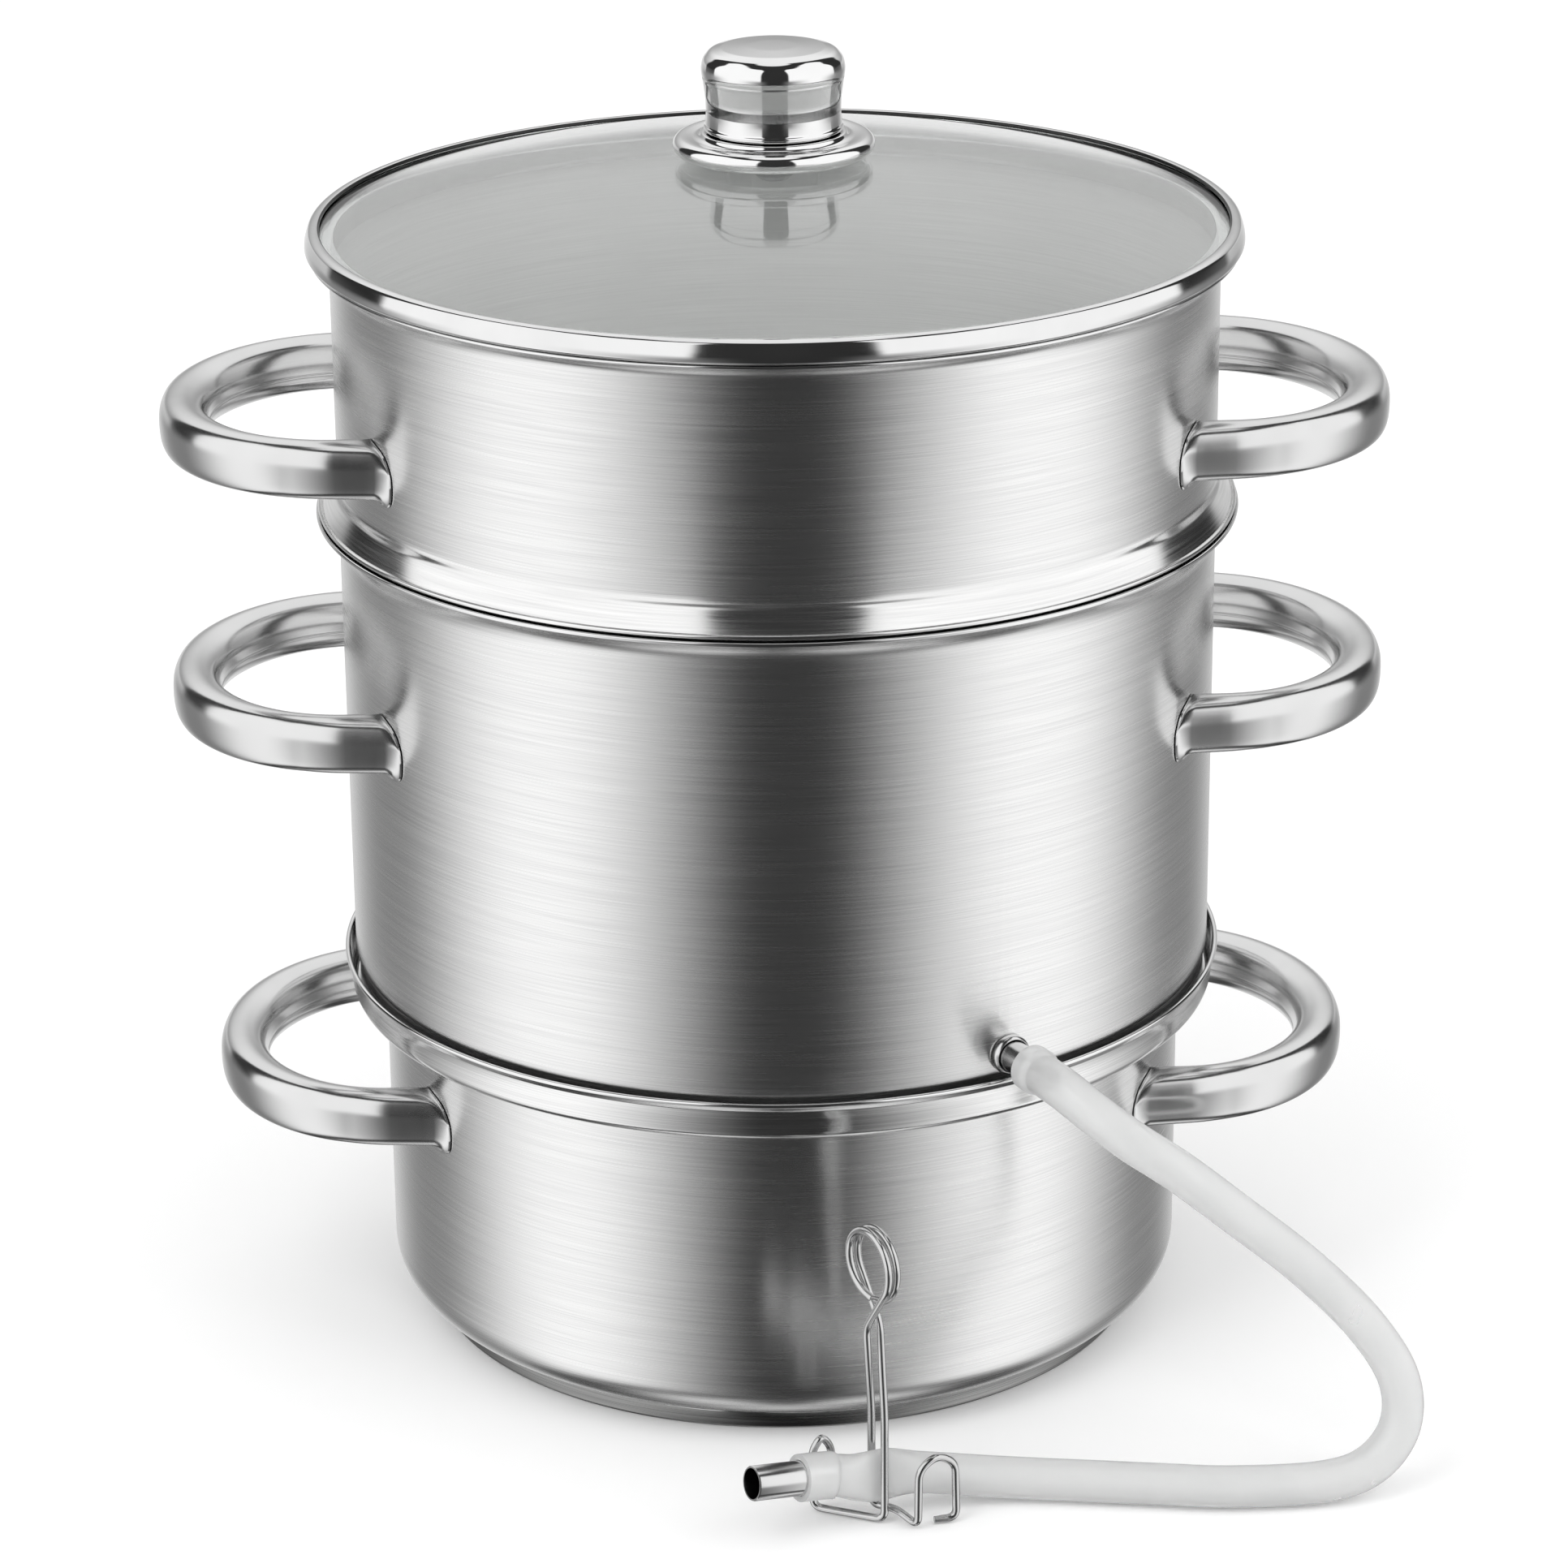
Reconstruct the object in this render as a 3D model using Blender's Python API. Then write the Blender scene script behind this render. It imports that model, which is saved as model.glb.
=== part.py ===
"""Steam juicer: a water pan, a juice kettle with a steam chimney, a fruit basket and a glass lid,
with a hose, a wire pinch clamp and a filling nozzle on the kettle's outlet.

Metres, +Z up. The origin is the centre of the base's underside. The handles lie along X, and the
outlet points forward (-Y), turned a little towards +X.
"""

import math

import bmesh
import bpy
from mathutils import Matrix, Vector

# Facets
POT_SIDES = 40
ROUND_SIDES = 24
TUBE_SIDES = 12
WIRE_SIDES = 6
MERGE_DISTANCE = 1e-6

# Clearances
SEAT_GAP = 0.0003
NEST_CLEARANCE = 0.0007
CUT_OVERRUN = 0.004

# The three pots, from the base up
BASE_RADIUS = 0.1094
BASE_HEIGHT = 0.0058
BASE_SKIN = 0.0008
BASE_EDGE_RADIUS = 0.0012

PAN_RADIUS = 0.1212
PAN_WALL = 0.0008
PAN_CORNER_RADIUS = 0.014
PAN_RIM_HEIGHT = 0.1155
PAN_COLLAR_DEPTH = 0.0118
PAN_COLLAR_ROLL = 0.0030
PAN_COLLAR_FLARE = 0.0008
PAN_BEAD_REACH = 0.0018
SHOULDER_RADIUS = 0.003

POT_RADIUS = 0.130
KETTLE_WALL = 0.0008
KETTLE_CORNER_RADIUS = 0.003
KETTLE_RISE = 0.1391
KETTLE_FLARE_HEIGHT = 0.0096
KETTLE_FLARE_REACH = 0.0066

BASKET_WALL = 0.0008
BASKET_NEST_DEPTH = 0.0610
BASKET_NEST_TAPER = 0.0014
BASKET_CORNER_RADIUS = 0.008
BASKET_LIP_HEIGHT = 0.0104
BASKET_LIP_BEND = 0.0014
BASKET_RISE = 0.0780
BASKET_FLARE_HEIGHT = 0.0056
BASKET_FLARE_REACH = 0.0074

# Perforated basket floor
HOLE_RADIUS = 0.003
HOLE_SIDES = 6
HOLE_RING_PITCH = 0.024
HOLE_RINGS = 4
HOLES_PER_RING_STEP = 6

# Steam chimney in the kettle
CHIMNEY_FOOT_RADIUS = 0.036
CHIMNEY_TOP_RADIUS = 0.0222
CHIMNEY_FLANGE_WIDTH = 0.006
CHIMNEY_TOP_CLEARANCE = 0.006
CHIMNEY_LIP_REACH = 0.0014

# Handles: a half-oval loop of a D-shaped tube with spread feet
HANDLE_HALF_SPAN = 0.055
HANDLE_REACH = 0.0515
HANDLE_SINK = 0.002
HANDLE_WIDTH = 0.0145
HANDLE_HEIGHT = 0.017
HANDLE_SEAM_DEPTH = 0.0009
FOOT_SPREAD = 0.0036
FOOT_DROP = 0.0029
FOOT_LENGTH = 0.0042
FOOT_EDGE = 0.0008
FOOT_SINK = 0.0035
HANDLE_ARC_STEPS = 12
PAN_HANDLE_DROP = 0.0345
KETTLE_HANDLE_DROP = 0.0551
BASKET_HANDLE_DROP = 0.0501

# Outlet on the kettle wall
OUTLET_AZIMUTH_DEG = 27.3
OUTLET_RISE = 0.0063
OUTLET_RADIUS = 0.0046
OUTLET_WALL = 0.0008
OUTLET_END_REACH = 0.0225
OUTLET_HEAD_RADIUS = 0.0060
OUTLET_HEAD_THICKNESS = 0.0012
FLANGE_RADIUS = 0.0059
FLANGE_THICKNESS = 0.0026

# Lid
LID_BAND_HEIGHT = 0.0061
LID_BAND_INSET = 0.0005
LID_BAND_BEVEL = 0.0017
LID_BAND_LIP_WIDTH = 0.0028
LID_BAND_WALL = 0.0009
LID_BAND_LIP_THICKNESS = 0.0007
LID_SKIRT_DEPTH = 0.0055
LID_SKIRT_WALL = 0.0008
LID_SKIRT_CLEARANCE = 0.0008
GLASS_THICKNESS = 0.0036
GLASS_RISE = 0.0190
GLASS_HOLE_RADIUS = 0.0032

# Knob
KNOB_WAIST_RADIUS = 0.0196
KNOB_SHOULDER_RADIUS = 0.0209
KNOB_CUP_HEIGHT = 0.0244
KNOB_WALL = 0.0011
KNOB_BOSS_RADIUS = 0.0055
SKIRT_RADIUS = 0.0294
SKIRT_HEIGHT = 0.0057
SKIRT_PLATE_THICKNESS = 0.0010
WASHER_RADIUS = 0.0140
LOWER_WASHER_RADIUS = 0.0085
WASHER_THICKNESS = 0.0016
SCREW_RADIUS = 0.0021
SCREW_HEAD_RADIUS = 0.0060
SCREW_HEAD_HEIGHT = 0.0028
SCREW_GRIP = 0.0110

# Hose, nozzle and pinch clamp
HOSE_RADIUS = 0.0060
HOSE_SIDES = 10
HOSE_STATIONS = 72
HOSE_START_REACH = 0.0120
SLEEVE_LENGTH = 0.0105
PINCH_HALF_THICKNESS = 0.0016
PINCH_HALF_HEIGHT = 0.0083
PINCH_LENGTH = 0.0150
CUFF_RADIUS = 0.0066
NOZZLE_RADIUS = 0.0050
NOZZLE_WALL = 0.0007
NOZZLE_LENGTH = 0.0260
WIRE_RADIUS = 0.00115
COIL_RADIUS = 0.0104
COIL_PITCH = 0.0028
COIL_CENTRE = Vector((0.0175, -0.1650, 0.0800))
CLAMP_ANGLE_DEG = -58.0
CROSSING_DROP = 0.0186
JAW_OFFSET = 0.0032
JAW_TOP = 0.0340
COIL_STEPS = 16

# The hose's route from the outlet to the nozzle, chosen by hand
HOSE_ROUTE = [
    (0.0651, -0.1262, 0.1218), (0.0688, -0.1333, 0.1218), (0.0737, -0.1413, 0.1208),
    (0.0812, -0.1487, 0.1168), (0.0911, -0.1545, 0.1107), (0.1040, -0.1577, 0.1026),
    (0.1200, -0.1581, 0.0895),
    (0.1400, -0.1563, 0.0718), (0.1578, -0.1539, 0.0522), (0.1683, -0.1548, 0.0350),
    (0.1689, -0.1572, 0.0205), (0.1606, -0.1606, 0.0102), (0.1464, -0.1632, 0.0065),
    (0.1205, -0.1641, 0.0063), (0.0994, -0.1613, 0.0063), (0.0784, -0.1580, 0.0063),
    (0.0632, -0.1562, 0.0066), (0.0497, -0.1559, 0.0077), (0.0386, -0.1573, 0.0096),
    (0.0282, -0.1604, 0.0121), (0.0188, -0.1652, 0.0140), (0.0118, -0.1677, 0.0151),
    (0.0060, -0.1684, 0.0162), (0.0010, -0.1704, 0.0171), (-0.0040, -0.1729, 0.0180),
]
PINCH_STATION = 20

# Places worked out from the sizes above
KETTLE_RIM_HEIGHT = PAN_RIM_HEIGHT + KETTLE_RISE
BASKET_RIM_HEIGHT = KETTLE_RIM_HEIGHT + BASKET_RISE
PAN_HANDLE_HEIGHT = PAN_RIM_HEIGHT - PAN_HANDLE_DROP
KETTLE_HANDLE_HEIGHT = KETTLE_RIM_HEIGHT - KETTLE_HANDLE_DROP
BASKET_HANDLE_HEIGHT = BASKET_RIM_HEIGHT - BASKET_HANDLE_DROP
OUTLET_HEIGHT = PAN_RIM_HEIGHT + OUTLET_RISE
PAN_FLOOR = BASE_HEIGHT + SEAT_GAP
LEDGE_TOP = PAN_RIM_HEIGHT - PAN_COLLAR_DEPTH
COLLAR_INNER = POT_RADIUS + NEST_CLEARANCE
KETTLE_FLOOR = LEDGE_TOP + SEAT_GAP
KETTLE_INNER = POT_RADIUS - KETTLE_WALL
BASKET_LIP_TOP = KETTLE_RIM_HEIGHT + BASKET_LIP_HEIGHT
BASKET_FLOOR = KETTLE_RIM_HEIGHT - BASKET_NEST_DEPTH
NEST_RADIUS = KETTLE_INNER - NEST_CLEARANCE
BASKET_RIM_RADIUS = POT_RADIUS + BASKET_FLARE_REACH
LID_BAND_TOP = BASKET_RIM_HEIGHT + SEAT_GAP + LID_BAND_HEIGHT
LID_BAND_RADIUS = BASKET_RIM_RADIUS - LID_BAND_INSET
LID_BAND_SHOULDER_RADIUS = LID_BAND_RADIUS - LID_BAND_BEVEL
LID_BAND_LIP_RADIUS = LID_BAND_SHOULDER_RADIUS - LID_BAND_LIP_WIDTH
GLASS_EDGE_RADIUS = LID_BAND_SHOULDER_RADIUS - LID_BAND_WALL - SEAT_GAP
GLASS_EDGE_TOP = LID_BAND_TOP - LID_BAND_LIP_THICKNESS - SEAT_GAP
OUTLET_DIRECTION = Vector((
    math.sin(math.radians(OUTLET_AZIMUTH_DEG)), -math.cos(math.radians(OUTLET_AZIMUTH_DEG)), 0.0))
FULL_TURN = 2.0 * math.pi


def clear_scene():
    """Remove whatever the opening file holds."""
    for item in list(bpy.data.objects):
        bpy.data.objects.remove(item, do_unlink=True)


def make_material(name, colour, metallic, roughness, alpha=1.0, transmission=0.0):
    """A Principled material with the piece's own colour and gloss."""
    material = bpy.data.materials.new(name)
    material.use_nodes = True
    shader = material.node_tree.nodes["Principled BSDF"]
    shader.inputs["Base Color"].default_value = (*colour, 1.0)
    shader.inputs["Metallic"].default_value = metallic
    shader.inputs["Roughness"].default_value = roughness
    shader.inputs["Alpha"].default_value = alpha
    shader.inputs["Transmission Weight"].default_value = transmission
    return material


def make_materials():
    """Every finish on the object, by name."""
    return {
        "brushed_steel": make_material("brushed_steel", (0.66, 0.66, 0.65), 1.0, 0.32),
        "polished_steel": make_material("polished_steel", (0.78, 0.78, 0.78), 1.0, 0.08),
        "base_steel": make_material("base_steel", (0.42, 0.42, 0.41), 1.0, 0.38),
        "aluminium": make_material("aluminium", (0.75, 0.76, 0.77), 1.0, 0.45),
        "glass": make_material("glass", (0.92, 0.97, 0.95), 0.0, 0.03, 0.35, 0.9),
        "silicone": make_material("silicone", (0.90, 0.91, 0.90), 0.0, 0.40, 0.8, 0.4),
    }


MATERIALS = {}


def finish_mesh(name, shape, material, smooth_angle_deg=40.0):
    """Turn a bmesh into a named object with outward faces, smooth shading and a material."""
    bmesh.ops.remove_doubles(shape, verts=shape.verts, dist=MERGE_DISTANCE)
    bmesh.ops.recalc_face_normals(shape, faces=shape.faces)
    mesh = bpy.data.meshes.new(name)
    shape.to_mesh(mesh)
    shape.free()
    mesh.shade_smooth()
    mesh.set_sharp_from_angle(angle=math.radians(smooth_angle_deg))
    mesh.materials.append(MATERIALS[material])
    item = bpy.data.objects.new(name, mesh)
    bpy.context.collection.objects.link(item)
    return item


def lathe(name, profile, material, sides=POT_SIDES, closed=True):
    """Spin a profile of (radius, height) points about Z. An open profile starts and ends on the axis."""
    shape = bmesh.new()
    verts = [shape.verts.new((radius, 0.0, height)) for radius, height in profile]
    edges = [shape.edges.new(pair) for pair in zip(verts, verts[1:])]
    if closed:
        edges.append(shape.edges.new((verts[-1], verts[0])))
    bmesh.ops.spin(shape, geom=verts + edges, cent=(0.0, 0.0, 0.0), axis=(0.0, 0.0, 1.0),
                   angle=FULL_TURN, steps=sides, use_merge=True)
    return finish_mesh(name, shape, material)


def arc(centre, radius, start_deg, end_deg, steps):
    """Points on an arc in a (radius, height) profile, both ends included."""
    points = []
    for step in range(steps + 1):
        angle = math.radians(start_deg + (end_deg - start_deg) * step / steps)
        points.append((centre[0] + radius * math.cos(angle), centre[1] + radius * math.sin(angle)))
    return points


def flare(inner_radius, low, reach, height, steps=3):
    """A quarter-oval flare: it leaves the wall upright at the low end and ends nearly level."""
    points = []
    for step in range(steps + 1):
        angle = 0.5 * math.pi * step / steps
        points.append((inner_radius + reach * (1.0 - math.cos(angle)), low + height * math.sin(angle)))
    return points


def sweep(name, rings, material):
    """Skin a row of rings with the same number of points and cap both ends."""
    shape = bmesh.new()
    loops = [[shape.verts.new(point) for point in ring] for ring in rings]
    count = len(loops[0])
    for low, high in zip(loops, loops[1:]):
        for index in range(count):
            follow = (index + 1) % count
            shape.faces.new((low[index], low[follow], high[follow], high[index]))
    shape.faces.new(list(reversed(loops[0])))
    shape.faces.new(loops[-1])
    return finish_mesh(name, shape, material)


def round_bar(name, start, end, radius, sides, material="polished_steel"):
    """A straight round bar between two points."""
    axis = (end - start).normalized()
    side = axis.orthogonal().normalized()
    other = axis.cross(side)
    rings = []
    for place in (start, end):
        rings.append([place + side * radius * math.cos(FULL_TURN * step / sides)
                      + other * radius * math.sin(FULL_TURN * step / sides) for step in range(sides)])
    return sweep(name, rings, material)


def cutter(item):
    """Mark an object as a cutter, which is no part of the model."""
    item.hide_render = True
    item.display_type = "WIRE"
    return item


def cut(item, tool, operation="DIFFERENCE"):
    """Cut one object with another by an exact Boolean."""
    modifier = item.modifiers.new("cut", "BOOLEAN")
    modifier.operation = operation
    modifier.solver = "EXACT"
    modifier.object = cutter(tool)


def make_base():
    """The sandwich base: an aluminium core in a steel cap, under the pan's floor."""
    edge = BASE_EDGE_RADIUS
    inner = BASE_RADIUS - BASE_SKIN
    cap = [(0.0, 0.0), (BASE_RADIUS - edge, 0.0)]
    cap += arc((BASE_RADIUS - edge, edge), edge, -60.0, 0.0, 2)
    cap += [(BASE_RADIUS, BASE_HEIGHT), (inner, BASE_HEIGHT), (inner, BASE_SKIN), (0.0, BASE_SKIN)]
    lathe("base_cap", cap, "base_steel", closed=False)
    low = BASE_SKIN + SEAT_GAP
    rim = inner - SEAT_GAP
    core = [(0.0, low), (rim, low), (rim, BASE_HEIGHT), (0.0, BASE_HEIGHT)]
    lathe("base_core", core, "aluminium", closed=False)


def make_pan():
    """The water pan: a large-radius corner, a shoulder that seats the kettle and a rolled rim."""
    corner = PAN_CORNER_RADIUS
    inner = PAN_RADIUS - PAN_WALL
    middle = PAN_RADIUS - corner
    ledge_under = LEDGE_TOP - PAN_WALL
    collar_outer = COLLAR_INNER + PAN_WALL
    top_inner = COLLAR_INNER + PAN_COLLAR_FLARE
    neck = PAN_RIM_HEIGHT - PAN_BEAD_REACH
    outer = [(0.0, PAN_FLOOR)] + arc((middle, PAN_FLOOR + corner), corner, -90.0, 0.0, 4)
    outer += [(PAN_RADIUS, ledge_under - SHOULDER_RADIUS)]
    outer += [(PAN_RADIUS + SHOULDER_RADIUS, ledge_under)]
    roll = PAN_COLLAR_ROLL
    outer += arc((collar_outer - roll, ledge_under + roll), roll, -90.0, 0.0, 3)
    outer += [(top_inner + PAN_WALL, neck), (top_inner + PAN_BEAD_REACH, neck)]
    bead = arc((top_inner + PAN_BEAD_REACH / 2.0, neck + PAN_BEAD_REACH / 2.0),
               PAN_BEAD_REACH / 2.0, 0.0, 180.0, 3)
    inside = [(COLLAR_INNER, LEDGE_TOP), (inner + SHOULDER_RADIUS, LEDGE_TOP)]
    inside += [(inner, LEDGE_TOP - SHOULDER_RADIUS)]
    inside += arc((middle, PAN_FLOOR + corner), corner - PAN_WALL, 0.0, -90.0, 4)
    inside += [(0.0, PAN_FLOOR + PAN_WALL)]
    return lathe("water_pan", outer + bead + inside, "brushed_steel", closed=False)


def kettle_flare(offset):
    """The kettle's flared seat, moved out of the sheet by an offset."""
    low = KETTLE_RIM_HEIGHT - KETTLE_FLARE_HEIGHT
    return flare(KETTLE_INNER + offset, low - offset, KETTLE_FLARE_REACH - KETTLE_WALL,
                 KETTLE_FLARE_HEIGHT - KETTLE_WALL)


def make_kettle():
    """The juice kettle: a flat floor with the chimney's hole, a straight wall and a flared rim."""
    corner = KETTLE_CORNER_RADIUS
    floor_top = KETTLE_FLOOR + KETTLE_WALL
    hole = CHIMNEY_FOOT_RADIUS
    outer = [(hole, KETTLE_FLOOR)]
    outer += arc((POT_RADIUS - corner, KETTLE_FLOOR + corner), corner, -90.0, 0.0, 2)
    outer += kettle_flare(KETTLE_WALL)
    edge = KETTLE_INNER + KETTLE_FLARE_REACH + KETTLE_WALL
    outer += [(edge, KETTLE_RIM_HEIGHT - KETTLE_WALL), (edge - KETTLE_WALL / 2.0, KETTLE_RIM_HEIGHT)]
    inside = list(reversed(kettle_flare(0.0)))
    inside += arc((POT_RADIUS - corner, KETTLE_FLOOR + corner), corner - KETTLE_WALL, 0.0, -90.0, 2)
    inside += [(hole, floor_top)]
    kettle = lathe("juice_kettle", outer + inside, "brushed_steel")
    axis_point = Vector((0.0, 0.0, OUTLET_HEIGHT))
    near = axis_point + OUTLET_DIRECTION * (KETTLE_INNER - CUT_OVERRUN)
    far = axis_point + OUTLET_DIRECTION * (POT_RADIUS + CUT_OVERRUN)
    tool = round_bar("outlet_hole_cutter", near, far, OUTLET_RADIUS + SEAT_GAP, TUBE_SIDES)
    cut(kettle, tool)
    return kettle


def make_chimney():
    """The open steam chimney: a flange on the kettle's floor, a tapering wall and a rolled lip."""
    foot = KETTLE_FLOOR + KETTLE_WALL + SEAT_GAP
    top = BASKET_FLOOR - CHIMNEY_TOP_CLEARANCE
    flange = CHIMNEY_FOOT_RADIUS + CHIMNEY_FLANGE_WIDTH
    wall = KETTLE_WALL
    lip = CHIMNEY_LIP_REACH
    outer = [(CHIMNEY_FOOT_RADIUS - wall, foot), (flange, foot), (flange, foot + wall)]
    outer += [(CHIMNEY_FOOT_RADIUS + wall, foot + wall), (CHIMNEY_TOP_RADIUS, top - lip)]
    outer += [(CHIMNEY_TOP_RADIUS + lip, top - lip / 2.0), (CHIMNEY_TOP_RADIUS + lip / 2.0, top)]
    inside = [(CHIMNEY_TOP_RADIUS - wall, top - lip / 2.0)]
    return lathe("steam_chimney", outer + inside, "brushed_steel", ROUND_SIDES)


def hole_places():
    """Centres of the holes in the basket's floor: one in the middle and rings round it."""
    places = [(0.0, 0.0)]
    for ring in range(1, HOLE_RINGS + 1):
        count = HOLES_PER_RING_STEP * ring
        for index in range(count):
            angle = FULL_TURN * (index + 0.5 * (ring % 2)) / count
            radius = HOLE_RING_PITCH * ring
            places.append((radius * math.cos(angle), radius * math.sin(angle)))
    return places


def make_hole_cutter():
    """One cutter made of a prism for each hole."""
    shape = bmesh.new()
    for x, y in hole_places():
        place = Matrix.Translation((x, y, BASKET_FLOOR + BASKET_WALL / 2.0))
        bmesh.ops.create_cone(shape, cap_ends=True, segments=HOLE_SIDES, radius1=HOLE_RADIUS,
                              radius2=HOLE_RADIUS, depth=BASKET_WALL + CUT_OVERRUN, matrix=place)
    return finish_mesh("basket_hole_cutter", shape, "brushed_steel")


def make_basket():
    """The fruit basket: a perforated nest inside the kettle, a pressed lip on its rim and a flared top."""
    corner = BASKET_CORNER_RADIUS
    wall = BASKET_WALL
    low_radius = NEST_RADIUS - BASKET_NEST_TAPER
    seat = [(radius - SEAT_GAP, height + SEAT_GAP) for radius, height in kettle_flare(0.0)]
    seat_outer = seat
    nest_top = (seat_outer[0][0] - NEST_CLEARANCE, seat_outer[0][1] - wall)
    lip_edge = (seat_outer[3][0] + 1.5 * wall, seat_outer[3][1] + wall)
    bend = BASKET_LIP_BEND
    outer = [(0.0, BASKET_FLOOR)]
    outer += arc((low_radius - corner, BASKET_FLOOR + corner), corner, -90.0, 0.0, 3)
    outer += [nest_top] + seat_outer[1:] + [lip_edge]
    outer += [(lip_edge[0], lip_edge[1] + wall), (POT_RADIUS + bend, BASKET_LIP_TOP - 1.7 * bend)]
    outer += [(POT_RADIUS, BASKET_LIP_TOP)]
    rim_low = BASKET_RIM_HEIGHT - BASKET_FLARE_HEIGHT
    outer += flare(POT_RADIUS, rim_low - wall, BASKET_FLARE_REACH - wall, BASKET_FLARE_HEIGHT - wall)
    outer += [(BASKET_RIM_RADIUS, BASKET_RIM_HEIGHT - wall / 2.0)]
    inside = list(reversed(flare(POT_RADIUS - wall, rim_low, BASKET_FLARE_REACH - wall / 2.0,
                                 BASKET_FLARE_HEIGHT)))
    inside += [(POT_RADIUS - wall, BASKET_LIP_TOP - wall)]
    inside += [(seat_outer[2][0], lip_edge[1] + wall), (seat_outer[1][0] - wall, seat_outer[1][1])]
    inside += [(nest_top[0] - wall, nest_top[1] - wall)]
    inside += arc((low_radius - corner, BASKET_FLOOR + corner), corner - wall, 0.0, -90.0, 3)
    inside += [(0.0, BASKET_FLOOR + wall)]
    basket = lathe("fruit_basket", outer + inside, "brushed_steel", closed=False)
    cut(basket, make_hole_cutter())
    return basket


HANDLE_SECTION_SHARES = [
    (1.00, -0.56), (1.00, 0.40), (0.72, 0.88), (0.10, 1.00), (-0.66, 0.72), (-1.00, 0.30),
    (-1.00, 0.05), (-1.00, -0.05), (-1.00, -0.46), (-0.62, -0.92), (0.10, -1.00), (0.80, -0.90),
]
SEAM_POINTS = (6, 7)
FOOT_STATION_SHARES = (0.0, 0.18, 0.42, 0.80, 1.45)
SPREAD_ROUNDS = 12


def foot_spread(distance):
    """How far a foot has spread at a distance from the pot's wall: all of it in the flange's edge."""
    rest = (distance - FOOT_EDGE) / (FOOT_LENGTH - FOOT_EDGE)
    rest = min(max(rest, 0.0), 1.0)
    return 1.0 - math.sqrt(1.0 - (1.0 - rest) ** 2)


def handle_stations(wall_radius):
    """Places and outward normals along a handle, from one foot to the other."""
    flange_y = HANDLE_HALF_SPAN + HANDLE_WIDTH / 2.0 + FOOT_SPREAD
    edge = math.sqrt(wall_radius ** 2 - flange_y ** 2) + FOOT_EDGE
    straight_end = wall_radius - HANDLE_SINK
    length = HANDLE_REACH - HANDLE_WIDTH / 2.0 + HANDLE_SINK
    foot = [edge - FOOT_EDGE - FOOT_SINK] + [edge + share * FOOT_LENGTH for share in FOOT_STATION_SHARES]
    stations = [(Vector((x, -HANDLE_HALF_SPAN, 0.0)), Vector((0.0, -1.0, 0.0))) for x in foot]
    mirrored = [(Vector((place.x, -place.y, 0.0)), -normal) for place, normal in reversed(stations)]
    for step in range(HANDLE_ARC_STEPS + 1):
        angle = math.pi * step / HANDLE_ARC_STEPS - 0.5 * math.pi
        place = Vector((straight_end + length * math.cos(angle), HANDLE_HALF_SPAN * math.sin(angle), 0.0))
        normal = Vector((HANDLE_HALF_SPAN * math.cos(angle), length * math.sin(angle), 0.0)).normalized()
        stations.append((place, normal))
    return stations + mirrored


def handle_ring(place, normal, wall_radius, height):
    """One section of the handle. Near the wall its outer side spreads outwards and down into a flange."""
    ring = []
    for index, (out_share, up_share) in enumerate(HANDLE_SECTION_SHARES):
        out = out_share * HANDLE_WIDTH / 2.0
        up = up_share * HANDLE_HEIGHT / 2.0
        side = max(out_share, 0.0)
        spread = 0.0
        for _round in range(SPREAD_ROUNDS):
            reached = place + normal * (out + side * FOOT_SPREAD * spread)
            distance = reached.x - math.sqrt(wall_radius ** 2 - reached.y ** 2)
            spread = 0.5 * (spread + foot_spread(distance))
        out += side * FOOT_SPREAD * spread
        up -= side * FOOT_DROP * spread
        if index in SEAM_POINTS:
            out += HANDLE_SEAM_DEPTH
        ring.append(place + normal * out + Vector((0.0, 0.0, height + up)))
    return ring


def wall_cutter(name, radius, low, high):
    """A drum with the pot's own facets, a gap larger than its wall."""
    grown = radius + SEAT_GAP / math.cos(math.pi / POT_SIDES)
    profile = [(0.0, low), (grown, low), (grown, high), (0.0, high)]
    return lathe(name, profile, "brushed_steel", closed=False)


def make_handle(name, wall_radius, height, turned):
    """A loop handle that stands on a pot's wall on the +X side, or turned to the -X side."""
    rings = [handle_ring(*station, wall_radius, height) for station in handle_stations(wall_radius)]
    if turned:
        rings = [[Vector((-point.x, -point.y, point.z)) for point in ring] for ring in rings]
    handle = sweep(name, rings, "polished_steel")
    margin = HANDLE_HEIGHT + FOOT_DROP
    cut(handle, wall_cutter(name + "_wall_cutter", wall_radius, height - margin, height + margin))
    return handle


def make_handles():
    """A pair of handles for each pot."""
    pots = (("pan", PAN_RADIUS, PAN_HANDLE_HEIGHT), ("kettle", POT_RADIUS, KETTLE_HANDLE_HEIGHT),
            ("basket", POT_RADIUS, BASKET_HANDLE_HEIGHT))
    for pot, radius, height in pots:
        make_handle(pot + "_handle_right", radius, height, False)
        make_handle(pot + "_handle_left", radius, height, True)


def radial_lathe(name, profile, origin, direction, material, sides):
    """Spin a closed profile of (radius, distance) points about an axis and lay it along a direction."""
    item = lathe(name, profile, material, sides)
    turn = direction.to_track_quat("Z", "Y").to_matrix().to_4x4()
    item.data.transform(Matrix.Translation(origin) @ turn)
    return item


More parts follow.
